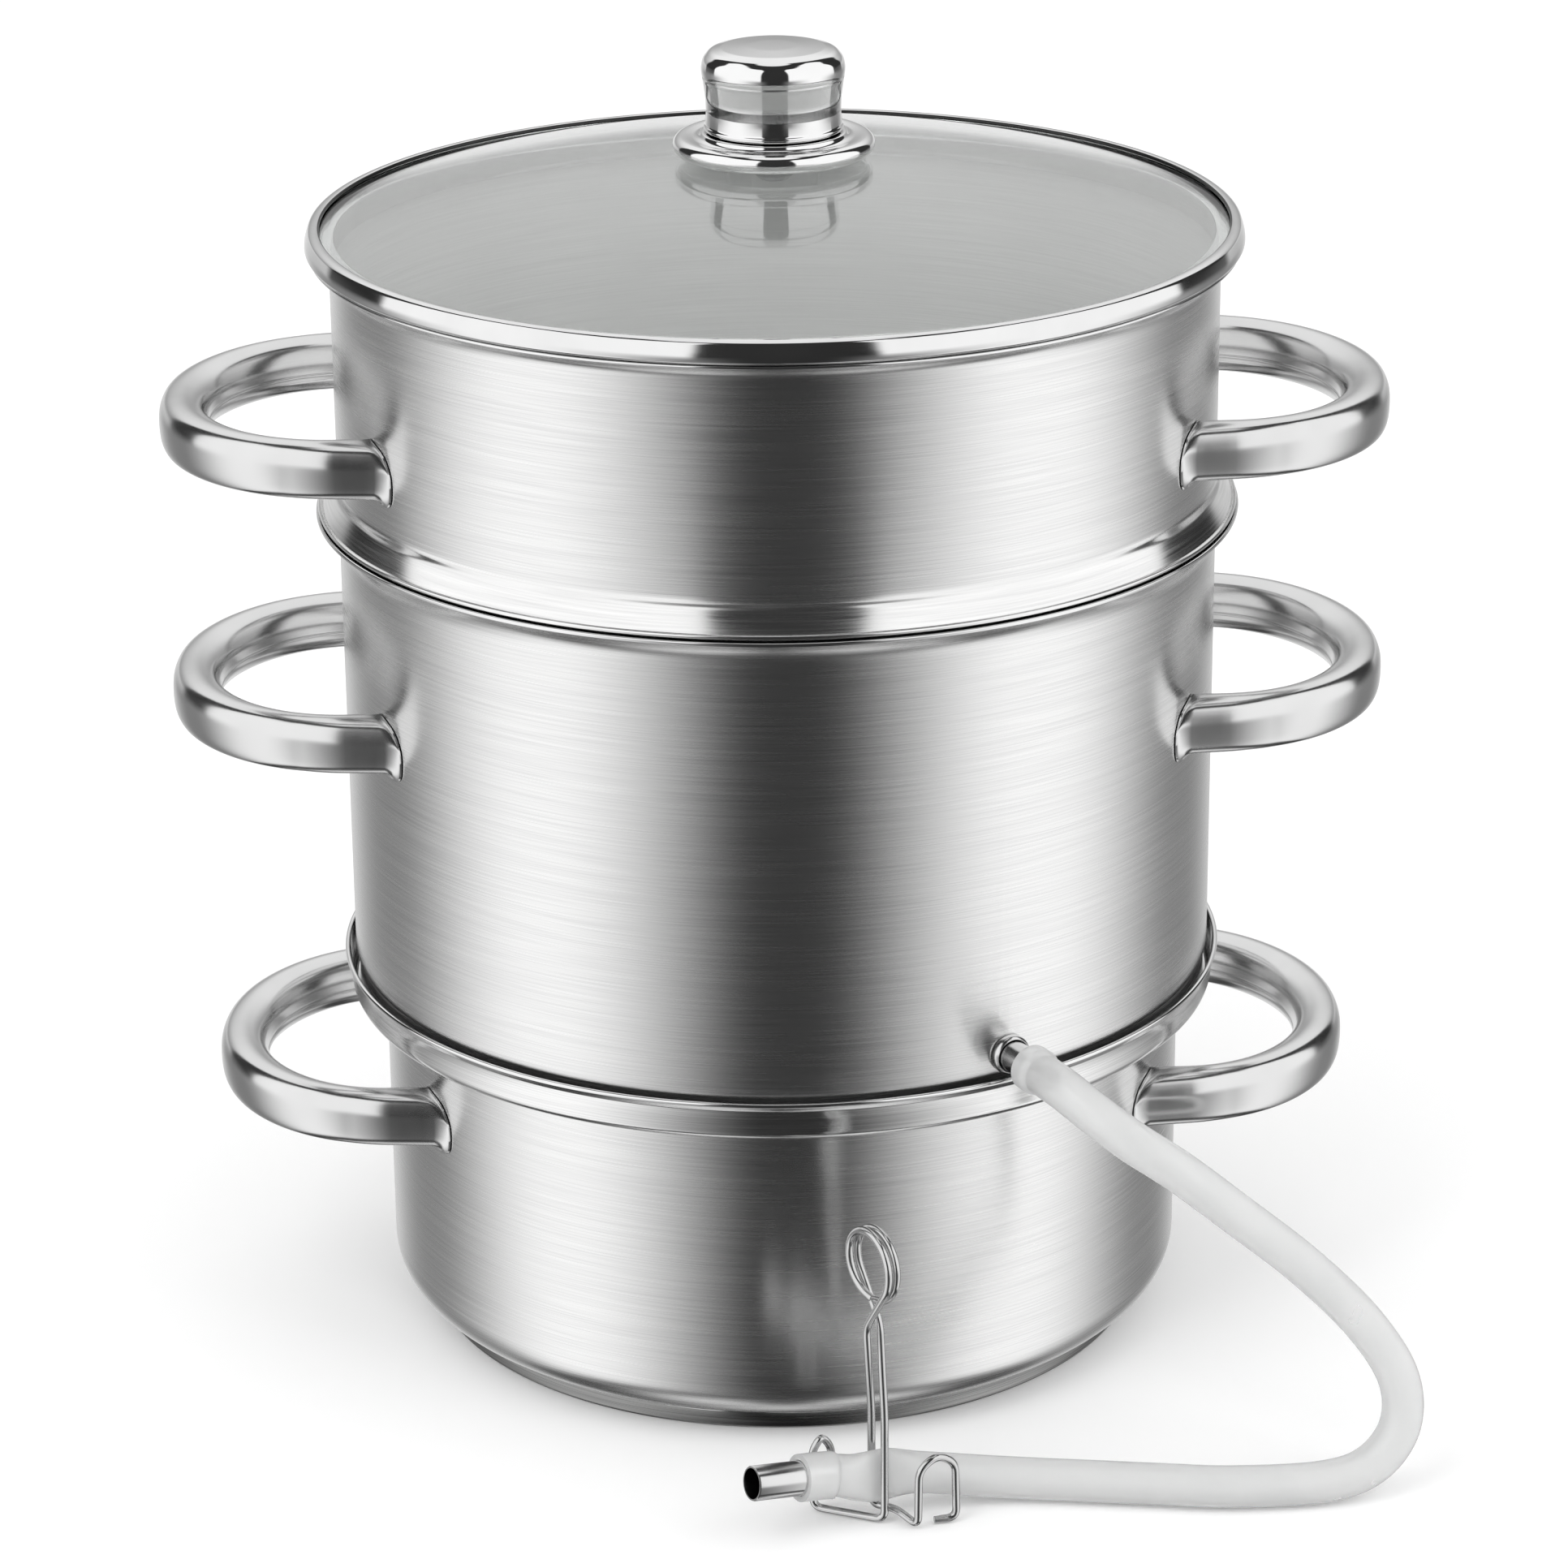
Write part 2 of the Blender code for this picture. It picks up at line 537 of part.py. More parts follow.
def make_outlet():
    """The outlet pipe, headed inside the kettle's wall, and the ferrule that holds it outside."""
    inner = OUTLET_RADIUS - OUTLET_WALL
    flat = POT_RADIUS - math.sqrt(POT_RADIUS ** 2 - OUTLET_HEAD_RADIUS ** 2)
    head_top = KETTLE_INNER * math.cos(math.pi / POT_SIDES) - flat - SEAT_GAP
    head_low = head_top - OUTLET_HEAD_THICKNESS
    end = POT_RADIUS + OUTLET_END_REACH
    profile = [(inner, head_low), (OUTLET_HEAD_RADIUS, head_low), (OUTLET_HEAD_RADIUS, head_top),
               (OUTLET_RADIUS, head_top), (OUTLET_RADIUS, end), (inner, end)]
    origin = Vector((0.0, 0.0, OUTLET_HEIGHT))
    radial_lathe("outlet_pipe", profile, origin, OUTLET_DIRECTION, "polished_steel", TUBE_SIDES)
    bore = OUTLET_RADIUS + SEAT_GAP
    low = POT_RADIUS + SEAT_GAP
    high = low + FLANGE_THICKNESS
    middle = (bore + FLANGE_RADIUS) / 2.0
    ring = [(bore, low), (FLANGE_RADIUS, low), (FLANGE_RADIUS, high - FLANGE_THICKNESS / 3.0),
            (middle, high), (bore, high)]
    radial_lathe("outlet_ferrule", ring, origin, OUTLET_DIRECTION, "polished_steel", TUBE_SIDES)


def glass_top(radius):
    """Height of the glass dome's upper side."""
    return GLASS_EDGE_TOP + GLASS_RISE * (1.0 - (radius / LID_BAND_LIP_RADIUS) ** 2)


def make_lid():
    """The domed glass and the steel band round its edge."""
    steps = 6
    top = [(GLASS_HOLE_RADIUS, glass_top(GLASS_HOLE_RADIUS))]
    for step in range(1, steps + 1):
        radius = LID_BAND_LIP_RADIUS * step / steps
        top.append((radius, glass_top(radius)))
    edge = [(GLASS_EDGE_RADIUS, GLASS_EDGE_TOP), (GLASS_EDGE_RADIUS, GLASS_EDGE_TOP - GLASS_THICKNESS)]
    under = [(radius, height - GLASS_THICKNESS) for radius, height in reversed(top)]
    lathe("lid_glass", top + edge + under, "glass")
    wall = LID_SKIRT_WALL
    channel_floor = GLASS_EDGE_TOP - GLASS_THICKNESS - SEAT_GAP
    channel_wall = GLASS_EDGE_RADIUS + SEAT_GAP
    lip_under = LID_BAND_TOP - LID_BAND_LIP_THICKNESS
    skirt_outer = POT_RADIUS - BASKET_WALL - LID_SKIRT_CLEARANCE
    rest = BASKET_RIM_HEIGHT + SEAT_GAP
    band = [(LID_BAND_LIP_RADIUS, lip_under), (LID_BAND_LIP_RADIUS, LID_BAND_TOP),
            (LID_BAND_SHOULDER_RADIUS, LID_BAND_TOP), (LID_BAND_RADIUS, rest + wall),
            (LID_BAND_RADIUS - wall, rest), (skirt_outer, rest), (skirt_outer, rest - LID_SKIRT_DEPTH),
            (skirt_outer - wall, rest - LID_SKIRT_DEPTH), (skirt_outer - wall, channel_floor),
            (channel_wall, channel_floor), (channel_wall, lip_under)]
    lathe("lid_band", band, "polished_steel")


def make_knob():
    """The knob: a waisted cup on a flared skirt, held through the glass by a screw and two washers."""
    glass_centre = glass_top(WASHER_RADIUS)
    washer_low = glass_top(GLASS_HOLE_RADIUS) + SEAT_GAP
    washer_high = washer_low + WASHER_THICKNESS
    hole = SCREW_RADIUS + SEAT_GAP
    washer = [(hole, washer_low), (WASHER_RADIUS, washer_low), (WASHER_RADIUS, washer_high),
              (hole, washer_high)]
    lathe("knob_seal", washer, "silicone", ROUND_SIDES)

    plate = washer_high + SEAT_GAP
    skin = SKIRT_PLATE_THICKNESS
    seat = plate + SKIRT_HEIGHT
    cup_foot = seat + SEAT_GAP
    knob_top = cup_foot + KNOB_CUP_HEIGHT
    waist = KNOB_WAIST_RADIUS
    skirt = [(hole, plate), (SKIRT_RADIUS - 2.0 * skin, plate), (SKIRT_RADIUS - skin / 2.0, plate + skin / 2.0),
             (SKIRT_RADIUS, plate + 1.5 * skin), (SKIRT_RADIUS - skin, plate + 2.5 * skin),
             ((SKIRT_RADIUS + waist) / 2.0, plate + 0.5 * (seat - plate)),
             (waist + 1.5 * skin, seat - 1.5 * skin), (waist + skin / 2.0, seat), (waist - 2.0 * skin, seat),
             (waist - 3.0 * skin, plate + skin), (hole, plate + skin)]
    lathe("knob_skirt", skirt, "polished_steel", ROUND_SIDES)

    wall = KNOB_WALL
    shoulder = KNOB_SHOULDER_RADIUS
    boss_foot = plate + skin + SEAT_GAP
    shank_top = boss_foot + SCREW_GRIP
    height = KNOB_CUP_HEIGHT
    cup = [(0.0, shank_top + SEAT_GAP), (hole, shank_top + SEAT_GAP), (hole, boss_foot),
           (KNOB_BOSS_RADIUS, boss_foot), (KNOB_BOSS_RADIUS, knob_top - 3.0 * wall),
           (shoulder - 4.0 * wall, knob_top - 3.0 * wall), (shoulder - wall, knob_top - 0.28 * height),
           (waist - wall, cup_foot + 0.20 * height), (waist - wall / 2.0, cup_foot),
           (waist + wall / 2.0, cup_foot), (waist, cup_foot + 0.17 * height),
           (waist + wall / 3.0, cup_foot + 0.42 * height), (shoulder, cup_foot + 0.70 * height),
           (shoulder - wall / 2.0, cup_foot + 0.83 * height), (shoulder - 2.2 * wall, cup_foot + 0.93 * height),
           (shoulder - 5.0 * wall, cup_foot + 0.98 * height), (0.0, knob_top)]
    lathe("knob_cup", cup, "polished_steel", ROUND_SIDES, closed=False)

    under = glass_centre - GLASS_THICKNESS - SEAT_GAP
    lower = [(hole, under - WASHER_THICKNESS), (LOWER_WASHER_RADIUS, under - WASHER_THICKNESS),
             (LOWER_WASHER_RADIUS, under), (hole, under)]
    lathe("knob_washer", lower, "silicone", ROUND_SIDES)

    head_top = under - WASHER_THICKNESS - SEAT_GAP
    head_low = head_top - SCREW_HEAD_HEIGHT
    screw = [(0.0, head_low), (SCREW_HEAD_RADIUS * 0.7, head_low),
             (SCREW_HEAD_RADIUS, head_low + SCREW_HEAD_HEIGHT / 2.0), (SCREW_HEAD_RADIUS, head_top),
             (SCREW_RADIUS, head_top), (SCREW_RADIUS, shank_top), (0.0, shank_top)]
    lathe("knob_screw", screw, "polished_steel", TUBE_SIDES, closed=False)


def smooth_route(points, count):
    """Evenly spaced points on a smooth curve through a list of points."""
    points = [Vector(point) for point in points]
    ends = [points[0] * 2.0 - points[1]] + points + [points[-1] * 2.0 - points[-2]]
    fine = 24
    dense = []
    for index in range(1, len(ends) - 2):
        before, start, end, after = ends[index - 1:index + 3]
        for step in range(fine):
            t = step / fine
            dense.append(0.5 * ((2.0 * start) + (end - before) * t
                                + (2.0 * before - 5.0 * start + 4.0 * end - after) * t ** 2
                                + (3.0 * start - before - 3.0 * end + after) * t ** 3))
    dense.append(points[-1])
    lengths = [0.0]
    for here, there in zip(dense, dense[1:]):
        lengths.append(lengths[-1] + (there - here).length)
    route = []
    index = 0
    for step in range(count):
        wanted = lengths[-1] * step / (count - 1)
        while index < len(lengths) - 2 and lengths[index + 1] < wanted:
            index += 1
        span = lengths[index + 1] - lengths[index]
        route.append(dense[index].lerp(dense[index + 1], (wanted - lengths[index]) / span))
    return route


def tangents(points):
    """Directions along a row of points."""
    count = len(points)
    return [(points[min(index + 1, count - 1)] - points[max(index - 1, 0)]).normalized()
            for index in range(count)]


def make_hose():
    """The silicone hose, bored at both ends for what it is pushed onto and pinched flat by the clamp."""
    route = smooth_route(HOSE_ROUTE, HOSE_STATIONS)
    directions = tangents(route)
    directions[0] = OUTLET_DIRECTION
    pinch = Vector(HOSE_ROUTE[PINCH_STATION])
    cuff_start = route[-1]
    rings = []
    up = Vector((0.0, 0.0, 1.0))
    for place, direction in zip(route, directions):
        side = direction.cross(up).normalized()
        top = side.cross(direction)
        reach = (place - pinch).length / PINCH_LENGTH
        flat = max(0.0, 1.0 - reach) ** 2 * (1.0 + 2.0 * min(reach, 1.0))
        cuff = 1.0 if (place - cuff_start).length < SLEEVE_LENGTH else 0.0
        radius = HOSE_RADIUS + (CUFF_RADIUS - HOSE_RADIUS) * cuff
        wide = radius + (PINCH_HALF_THICKNESS - radius) * flat
        tall = radius + (PINCH_HALF_HEIGHT - radius) * flat
        ring = []
        for index in range(HOSE_SIDES):
            angle = FULL_TURN * (index + 0.5) / HOSE_SIDES
            ring.append(place + side * wide * math.cos(angle) + top * tall * math.sin(angle))
        rings.append(ring)
    hose = sweep("hose", rings, "silicone")
    start = route[0]
    bore = OUTLET_RADIUS + SEAT_GAP
    cut(hose, round_bar("hose_inlet_cutter", start - OUTLET_DIRECTION * CUT_OVERRUN,
                        start + OUTLET_DIRECTION * (OUTLET_END_REACH - HOSE_START_REACH + SEAT_GAP),
                        bore, TUBE_SIDES))
    outward = directions[-1]
    end = route[-1]
    cut(hose, round_bar("hose_nozzle_cutter", end + outward * CUT_OVERRUN,
                        end - outward * (SLEEVE_LENGTH + SEAT_GAP), NOZZLE_RADIUS + SEAT_GAP, TUBE_SIDES))
    return end, outward


def make_nozzle(hose_end, outward):
    """The steel filling nozzle, pushed into the hose's free end."""
    inner = NOZZLE_RADIUS - NOZZLE_WALL
    low = -SLEEVE_LENGTH
    high = NOZZLE_LENGTH - SLEEVE_LENGTH
    profile = [(inner, low), (NOZZLE_RADIUS, low), (NOZZLE_RADIUS, high), (inner, high)]
    radial_lathe("filling_nozzle", profile, hose_end, outward, "polished_steel", TUBE_SIDES)


def fillet_route(points, radius, steps=3):
    """A row of points with its corners rounded."""
    rounded = [points[0]]
    for before, corner, after in zip(points, points[1:], points[2:]):
        back = (before - corner).normalized()
        ahead = (after - corner).normalized()
        trim = min(radius, 0.45 * (before - corner).length, 0.45 * (after - corner).length)
        start = corner + back * trim
        end = corner + ahead * trim
        for step in range(steps + 1):
            t = step / steps
            rounded.append(start.lerp(corner, t).lerp(corner.lerp(end, t), t))
    rounded.append(points[-1])
    return rounded


def wire(name, points):
    """A round wire along a row of points, with frames carried along so that it doesn't twist."""
    directions = tangents(points)
    side = directions[0].orthogonal().normalized()
    rings = []
    for place, direction in zip(points, directions):
        side = (side - direction * side.dot(direction)).normalized()
        other = direction.cross(side)
        rings.append([place + side * WIRE_RADIUS * math.cos(FULL_TURN * step / WIRE_SIDES)
                      + other * WIRE_RADIUS * math.sin(FULL_TURN * step / WIRE_SIDES)
                      for step in range(WIRE_SIDES)])
    return sweep(name, rings, "polished_steel")


# Where each leg of the clamp runs below the hose: front leg first, from its jaw to its finger loop
FRONT_FOOT = [
    (0.0006, -0.1590, 0.0012), (0.0004, -0.1590, 0.0190), (0.0031, -0.1578, 0.0232),
    (0.0059, -0.1564, 0.0190), (0.0061, -0.1563, 0.0024),
]
BACK_FOOT = [
    (0.0236, -0.1652, 0.0034), (0.0297, -0.1722, 0.0012), (0.0299, -0.1724, 0.0190),
    (0.0353, -0.1702, 0.0226), (0.0405, -0.1682, 0.0190), (0.0409, -0.1680, 0.0014),
    (0.0345, -0.1692, 0.0014),
]
WIRE_BEND_RADIUS = 0.0030


def make_clamp():
    """The spring clamp: one bent wire whose coil is parted at its foot, so that each leg can turn."""
    across = Vector((math.cos(math.radians(CLAMP_ANGLE_DEG)), math.sin(math.radians(CLAMP_ANGLE_DEG)), 0.0))
    axis = Vector((-across.y, across.x, 0.0))
    up = Vector((0.0, 0.0, 1.0))
    pinch = Vector(HOSE_ROUTE[PINCH_STATION])
    leave_deg = math.degrees(math.acos(COIL_RADIUS / CROSSING_DROP))
    wound_deg = 360.0 - leave_deg
    part_deg = math.degrees(SEAT_GAP / COIL_RADIUS)
    for name, sign, foot in (("clamp_front_leg", 1.0, FRONT_FOOT), ("clamp_back_leg", -1.0, BACK_FOOT)):
        rise = sign * COIL_PITCH * wound_deg / 360.0
        coil = []
        for step in range(COIL_STEPS + 1):
            share = step / COIL_STEPS
            angle = math.radians(-90.0 - sign * (leave_deg + (wound_deg - part_deg) * share))
            coil.append(COIL_CENTRE + across * COIL_RADIUS * math.cos(angle)
                        + up * COIL_RADIUS * math.sin(angle) + axis * rise * (1.0 - share))
        crossing = COIL_CENTRE - up * CROSSING_DROP + axis * rise
        jaw = pinch + across * sign * JAW_OFFSET
        low = Vector((jaw.x, jaw.y, foot[0][2]))
        leg = [coil[0], crossing, Vector((jaw.x, jaw.y, JAW_TOP)), low] + [Vector(point) for point in foot]
        wire(name, list(reversed(coil)) + fillet_route(leg, WIRE_BEND_RADIUS)[1:])


def main():
    """Build the whole object, from its base to its lid, and then what hangs on its outlet."""
    clear_scene()
    MATERIALS.update(make_materials())
    make_base()
    make_pan()
    make_kettle()
    make_chimney()
    make_basket()
    make_handles()
    make_outlet()
    make_lid()
    make_knob()
    hose_end, outward = make_hose()
    make_nozzle(hose_end, outward)
    make_clamp()


main()
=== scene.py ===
"""Looks of a steam juicer: three stacked steel pots under a domed glass lid, with a hose, a filling
nozzle and a wire pinch clamp on the outlet.

Every piece is made in the row's frame, in metres, and rides on the body that carries it. Only the
corners of a Run are in millimetres.
"""

from __future__ import annotations

import logging
import math
from dataclasses import dataclass, field
from enum import Enum
from typing import Callable, Sequence

import bmesh
import bpy
import numpy as np
from mathutils import Matrix, Vector

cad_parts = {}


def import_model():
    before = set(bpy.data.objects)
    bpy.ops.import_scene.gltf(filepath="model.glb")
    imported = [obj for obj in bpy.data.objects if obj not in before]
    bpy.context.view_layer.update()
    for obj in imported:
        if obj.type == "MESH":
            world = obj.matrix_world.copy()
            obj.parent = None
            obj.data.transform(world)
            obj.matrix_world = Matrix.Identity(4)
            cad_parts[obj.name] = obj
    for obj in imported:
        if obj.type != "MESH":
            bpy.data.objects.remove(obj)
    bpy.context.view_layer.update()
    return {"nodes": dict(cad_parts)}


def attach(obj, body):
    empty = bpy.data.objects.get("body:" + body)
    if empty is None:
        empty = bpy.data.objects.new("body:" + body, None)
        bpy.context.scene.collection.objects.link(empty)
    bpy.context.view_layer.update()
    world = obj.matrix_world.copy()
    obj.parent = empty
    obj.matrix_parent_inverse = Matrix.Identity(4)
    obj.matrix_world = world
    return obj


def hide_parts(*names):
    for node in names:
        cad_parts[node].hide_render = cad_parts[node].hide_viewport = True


LOG = logging.getLogger("steam_juicer")
Point = tuple[float, float]
Spot = tuple[float, float, float]
Colour = tuple[float, float, float]

FULL_TURN = 2.0 * math.pi
MM = 0.001
UP = Vector((0.0, 0.0, 1.0))
SHARP_DEG = 38.0
MERGE_DISTANCE = 1e-7
ON_AXIS = 1e-6
EASE_SHARE = 0.45
CURVE_STEPS = 24
NOISE_LOW, NOISE_HIGH = 0.3, 0.7


class Body(Enum):
    """The bodies that the pieces ride on."""

    PAN = "water_pan"
    KETTLE = "juice_kettle"
    BASKET = "fruit_basket"
    LID = "lid"
    HOSE = "hose"
    NOZZLE = "nozzle"
    CLAMP_FRONT = "clamp_front"
    CLAMP_BACK = "clamp_back"


class Slot(Enum):
    """The record's material slots."""

    BRUSHED = "brushed_steel"
    POLISHED = "polished_steel"
    BASE = "base_steel"
    GLASS = "glass"
    SILICONE = "silicone"


class Side(Enum):
    """The sides of a pot that its handles stand on."""

    RIGHT = "right"
    LEFT = "left"


# ---------------------------------------------------------------- finishes


class NodeSheet:
    """A node tree, with short ways to add nodes and join them."""

    def __init__(self, tree: bpy.types.NodeTree) -> None:
        """Take a tree to work on."""
        self.tree = tree

    def set(self, node: bpy.types.Node, values: dict) -> bpy.types.Node:
        """Set a node's inputs by name or number: a socket is linked, anything else is a plain value.

        Args:
            node: the node to set.
            values: input name or number to value or socket.

        Returns:
            The same node.
        """
        for key, value in values.items():
            if isinstance(value, bpy.types.NodeSocket):
                self.tree.links.new(value, node.inputs[key])
            else:
                node.inputs[key].default_value = value
        return node

    def add(self, kind: str, values: dict | None = None, **options: object) -> bpy.types.Node:
        """Add a node.

        Args:
            kind: the node's type name.
            values: its inputs, as in set().
            **options: the node's own settings, such as operation.

        Returns:
            The new node.
        """
        node = self.tree.nodes.new(kind)
        for key, value in options.items():
            setattr(node, key, value)
        return self.set(node, values or {})

    def math(self, operation: str, first: object, second: object = 0.0) -> bpy.types.NodeSocket:
        """Join two values by a math node and return its output."""
        return self.add("ShaderNodeMath", {0: first, 1: second}, operation=operation).outputs[0]

    def blend(self, share: object, first: object, second: object) -> bpy.types.NodeSocket:
        """A value between two values."""
        return self.add("ShaderNodeMix", {"Factor": share, "A": first, "B": second}).outputs["Result"]

    def step(self, value: bpy.types.NodeSocket, low: float, high: float, start: float = 0.0,
             end: float = 1.0) -> bpy.types.NodeSocket:
        """A smooth step as a value goes from low to high.

        Args:
            value: the value.
            low: where the step starts.
            high: where it ends.
            start: the result up to low.
            end: the result from high on.

        Returns:
            The stepped value.
        """
        limits = {"Value": value, "From Min": low, "From Max": high, "To Min": start, "To Max": end}
        return self.add("ShaderNodeMapRange", limits, interpolation_type="SMOOTHSTEP").outputs["Result"]


class ShaderSheet(NodeSheet):
    """A material's node tree."""

    def __init__(self, name: str) -> None:
        """Start a material with a Principled shader.

        Args:
            name: the material's name.
        """
        self.material = bpy.data.materials.new(name)
        self.material.use_nodes = True
        super().__init__(self.material.node_tree)
        self.shader = self.tree.nodes["Principled BSDF"]

    def place(self) -> bpy.types.NodeSocket:
        """Object coordinates."""
        return self.add("ShaderNodeTexCoord").outputs["Object"]

    def noise(self, vector: bpy.types.NodeSocket, scale: float, detail: float = 2.0) -> bpy.types.NodeSocket:
        """A noise texture's value on a vector."""
        values = {"Vector": vector, "Scale": scale, "Detail": detail}
        return self.add("ShaderNodeTexNoise", values).outputs["Fac"]

    def spread(self, value: bpy.types.NodeSocket, low: float, high: float) -> bpy.types.NodeSocket:
        """Map a noise value, which keeps to its middle part, onto a range."""
        limits = {"Value": value, "From Min": NOISE_LOW, "From Max": NOISE_HIGH, "To Min": low, "To Max": high}
        return self.add("ShaderNodeMapRange", limits).outputs["Result"]

    def tint(self, value: bpy.types.NodeSocket, dark: Colour, light: Colour) -> bpy.types.NodeSocket:
        """A colour between two colours by a 0..1 value."""
        ends = {0: value, 6: (*dark, 1.0), 7: (*light, 1.0)}
        return self.add("ShaderNodeMix", ends, data_type="RGBA").outputs[2]

    def relief(self, height: bpy.types.NodeSocket, strength: float, distance: float) -> None:
        """Give the surface a bump from a height."""
        bump = self.add("ShaderNodeBump", {"Height": height, "Strength": strength, "Distance": distance})
        self.set(self.shader, {"Normal": bump.outputs["Normal"]})


@dataclass(frozen=True)
class BrushedSteel:
    """Steel with fine lines round its axis, on walls and floors alike."""

    name: str
    dark: Colour = (0.735, 0.735, 0.735)
    light: Colour = (0.87, 0.87, 0.865)
    roughness: Point = (0.23, 0.28)
    lines_per_metre: float = 2800.0
    line_stretch_per_metre: float = 24.0
    broad_scale: float = 0.45
    broad_share: float = 0.05
    relief_strength: float = 0.6
    relief_depth: float = 0.00002
    anisotropy: float = 0.60
    anisotropy_turn: float = 0.25
    metallic: float = 1.0

    def build(self) -> bpy.types.Material:
        """Make the material: lines stretched round the axis in tint, gloss and relief.

        Returns:
            The material.
        """
        sheet = ShaderSheet(self.name)
        parts = sheet.add("ShaderNodeSeparateXYZ", {0: sheet.place()}).outputs
        x, y, z = parts[0], parts[1], parts[2]
        squares = sheet.math("ADD", sheet.math("MULTIPLY", x, x), sheet.math("MULTIPLY", y, y))
        across = sheet.math("ADD", z, sheet.math("SQRT", squares))
        lines = sheet.add("ShaderNodeCombineXYZ", {
            0: sheet.math("MULTIPLY", x, self.line_stretch_per_metre),
            1: sheet.math("MULTIPLY", y, self.line_stretch_per_metre),
            2: sheet.math("MULTIPLY", across, self.lines_per_metre),
        }).outputs[0]
        fine = sheet.noise(lines, 1.0)
        broad = sheet.math("MULTIPLY", sheet.noise(lines, self.broad_scale), self.broad_share)
        both = sheet.math("ADD", sheet.math("MULTIPLY", fine, 1.0 - self.broad_share), broad)
        sheet.set(sheet.shader, {
            "Base Color": sheet.tint(sheet.spread(both, 0.0, 1.0), self.dark, self.light),
            "Metallic": self.metallic,
            "Roughness": sheet.spread(fine, *self.roughness),
            "Anisotropic": self.anisotropy,
            "Anisotropic Rotation": self.anisotropy_turn,
            "Tangent": sheet.add("ShaderNodeTangent", direction_type="RADIAL", axis="Z").outputs[0],
        })
        sheet.relief(both, self.relief_strength, self.relief_depth)
        return sheet.material


@dataclass(frozen=True)
class PolishedSteel:
    """Mirror-polished steel with faint smears and hairlines."""

    name: str
    colour: Colour = (0.84, 0.84, 0.84)
    roughness: Point = (0.035, 0.085)
    smear_scale: float = 60.0
    smear_shade: float = 0.94
    hairline_scale: float = 900.0
    relief_strength: float = 0.04
    relief_depth: float = 0.00001

    def build(self) -> bpy.types.Material:
        """Make the material: a clean tint, and gloss that varies a little.

        Returns:
            The material.
        """
        sheet = ShaderSheet(self.name)
        place = sheet.place()
        smears = sheet.noise(place, self.smear_scale, 3.0)
        shade = tuple(self.smear_shade * part for part in self.colour)
        sheet.set(sheet.shader, {
            "Base Color": sheet.tint(sheet.spread(smears, 0.0, 1.0), shade, self.colour),
            "Metallic": 1.0,
            "Roughness": sheet.spread(smears, *self.roughness),
        })
        hairlines = sheet.noise(place, self.hairline_scale)
        sheet.relief(hairlines, self.relief_strength, self.relief_depth)
        return sheet.material


@dataclass(frozen=True)
class ClearGlass:
    """Tempered glass with the faint green of its edge."""

    name: str
    colour: Colour = (0.980, 0.993, 0.986)
    roughness: Point = (0.0, 0.02)
    smear_scale: float = 40.0
    index: float = 1.46

    def build(self) -> bpy.types.Material:
        """Make the material: clear, with a very slight unevenness in its gloss.

        Returns:
            The material.
        """
        sheet = ShaderSheet(self.name)
        sheet.set(sheet.shader, {
            "Base Color": (*self.colour, 1.0),
            "Roughness": sheet.spread(sheet.noise(sheet.place(), self.smear_scale), *self.roughness),
            "IOR": self.index,
            "Transmission Weight": 1.0,
        })
        return sheet.material


@dataclass(frozen=True)
class MilkySilicone:
    """Translucent silicone, cloudy inside and softly shiny."""

    name: str
    dark: Colour = (0.93, 0.935, 0.935)
    light: Colour = (0.98, 0.98, 0.98)
    transmission: float = 0.55
    roughness: Point = (0.18, 0.28)
    index: float = 1.36
    scatter: float = 0.25
    scatter_depth: float = 0.004
    cloud_scale: float = 55.0
    grain_scale: float = 700.0
    relief_strength: float = 0.10
    relief_depth: float = 0.00003

    def build(self) -> bpy.types.Material:
        """Make the material: clouds in its tint and gloss, and a faint moulded grain.

        Returns:
            The material.
        """
        sheet = ShaderSheet(self.name)
        place = sheet.place()
        clouds = sheet.noise(place, self.cloud_scale, 3.0)
        sheet.set(sheet.shader, {
            "Base Color": sheet.tint(sheet.spread(clouds, 0.0, 1.0), self.dark, self.light),
            "Roughness": sheet.spread(clouds, *self.roughness),
            "IOR": self.index,
            "Transmission Weight": self.transmission,
            "Subsurface Weight": self.scatter,
            "Subsurface Radius": (1.0, 1.0, 1.0),
            "Subsurface Scale": self.scatter_depth,
        })
        sheet.relief(sheet.noise(place, self.grain_scale), self.relief_strength, self.relief_depth)
        return sheet.material


@dataclass(frozen=True)
class PlainAluminium:
    """The heat-spreading core, turned on its faces."""

    name: str
    colour: Colour = (0.76, 0.77, 0.78)
    roughness: Point = (0.36, 0.50)
    grain_scale: float = 500.0
    grain_shade: float = 0.88

    def build(self) -> bpy.types.Material:
        """Make the material: a fine grain in its tint and gloss.

        Returns:
            The material.
        """
        sheet = ShaderSheet(self.name)
        grain = sheet.noise(sheet.place(), self.grain_scale, 3.0)
        shade = tuple(self.grain_shade * part for part in self.colour)
        sheet.set(sheet.shader, {
            "Base Color": sheet.tint(grain, shade, self.colour),
            "Metallic": 1.0,
            "Roughness": sheet.spread(grain, *self.roughness),
        })
        return sheet.material


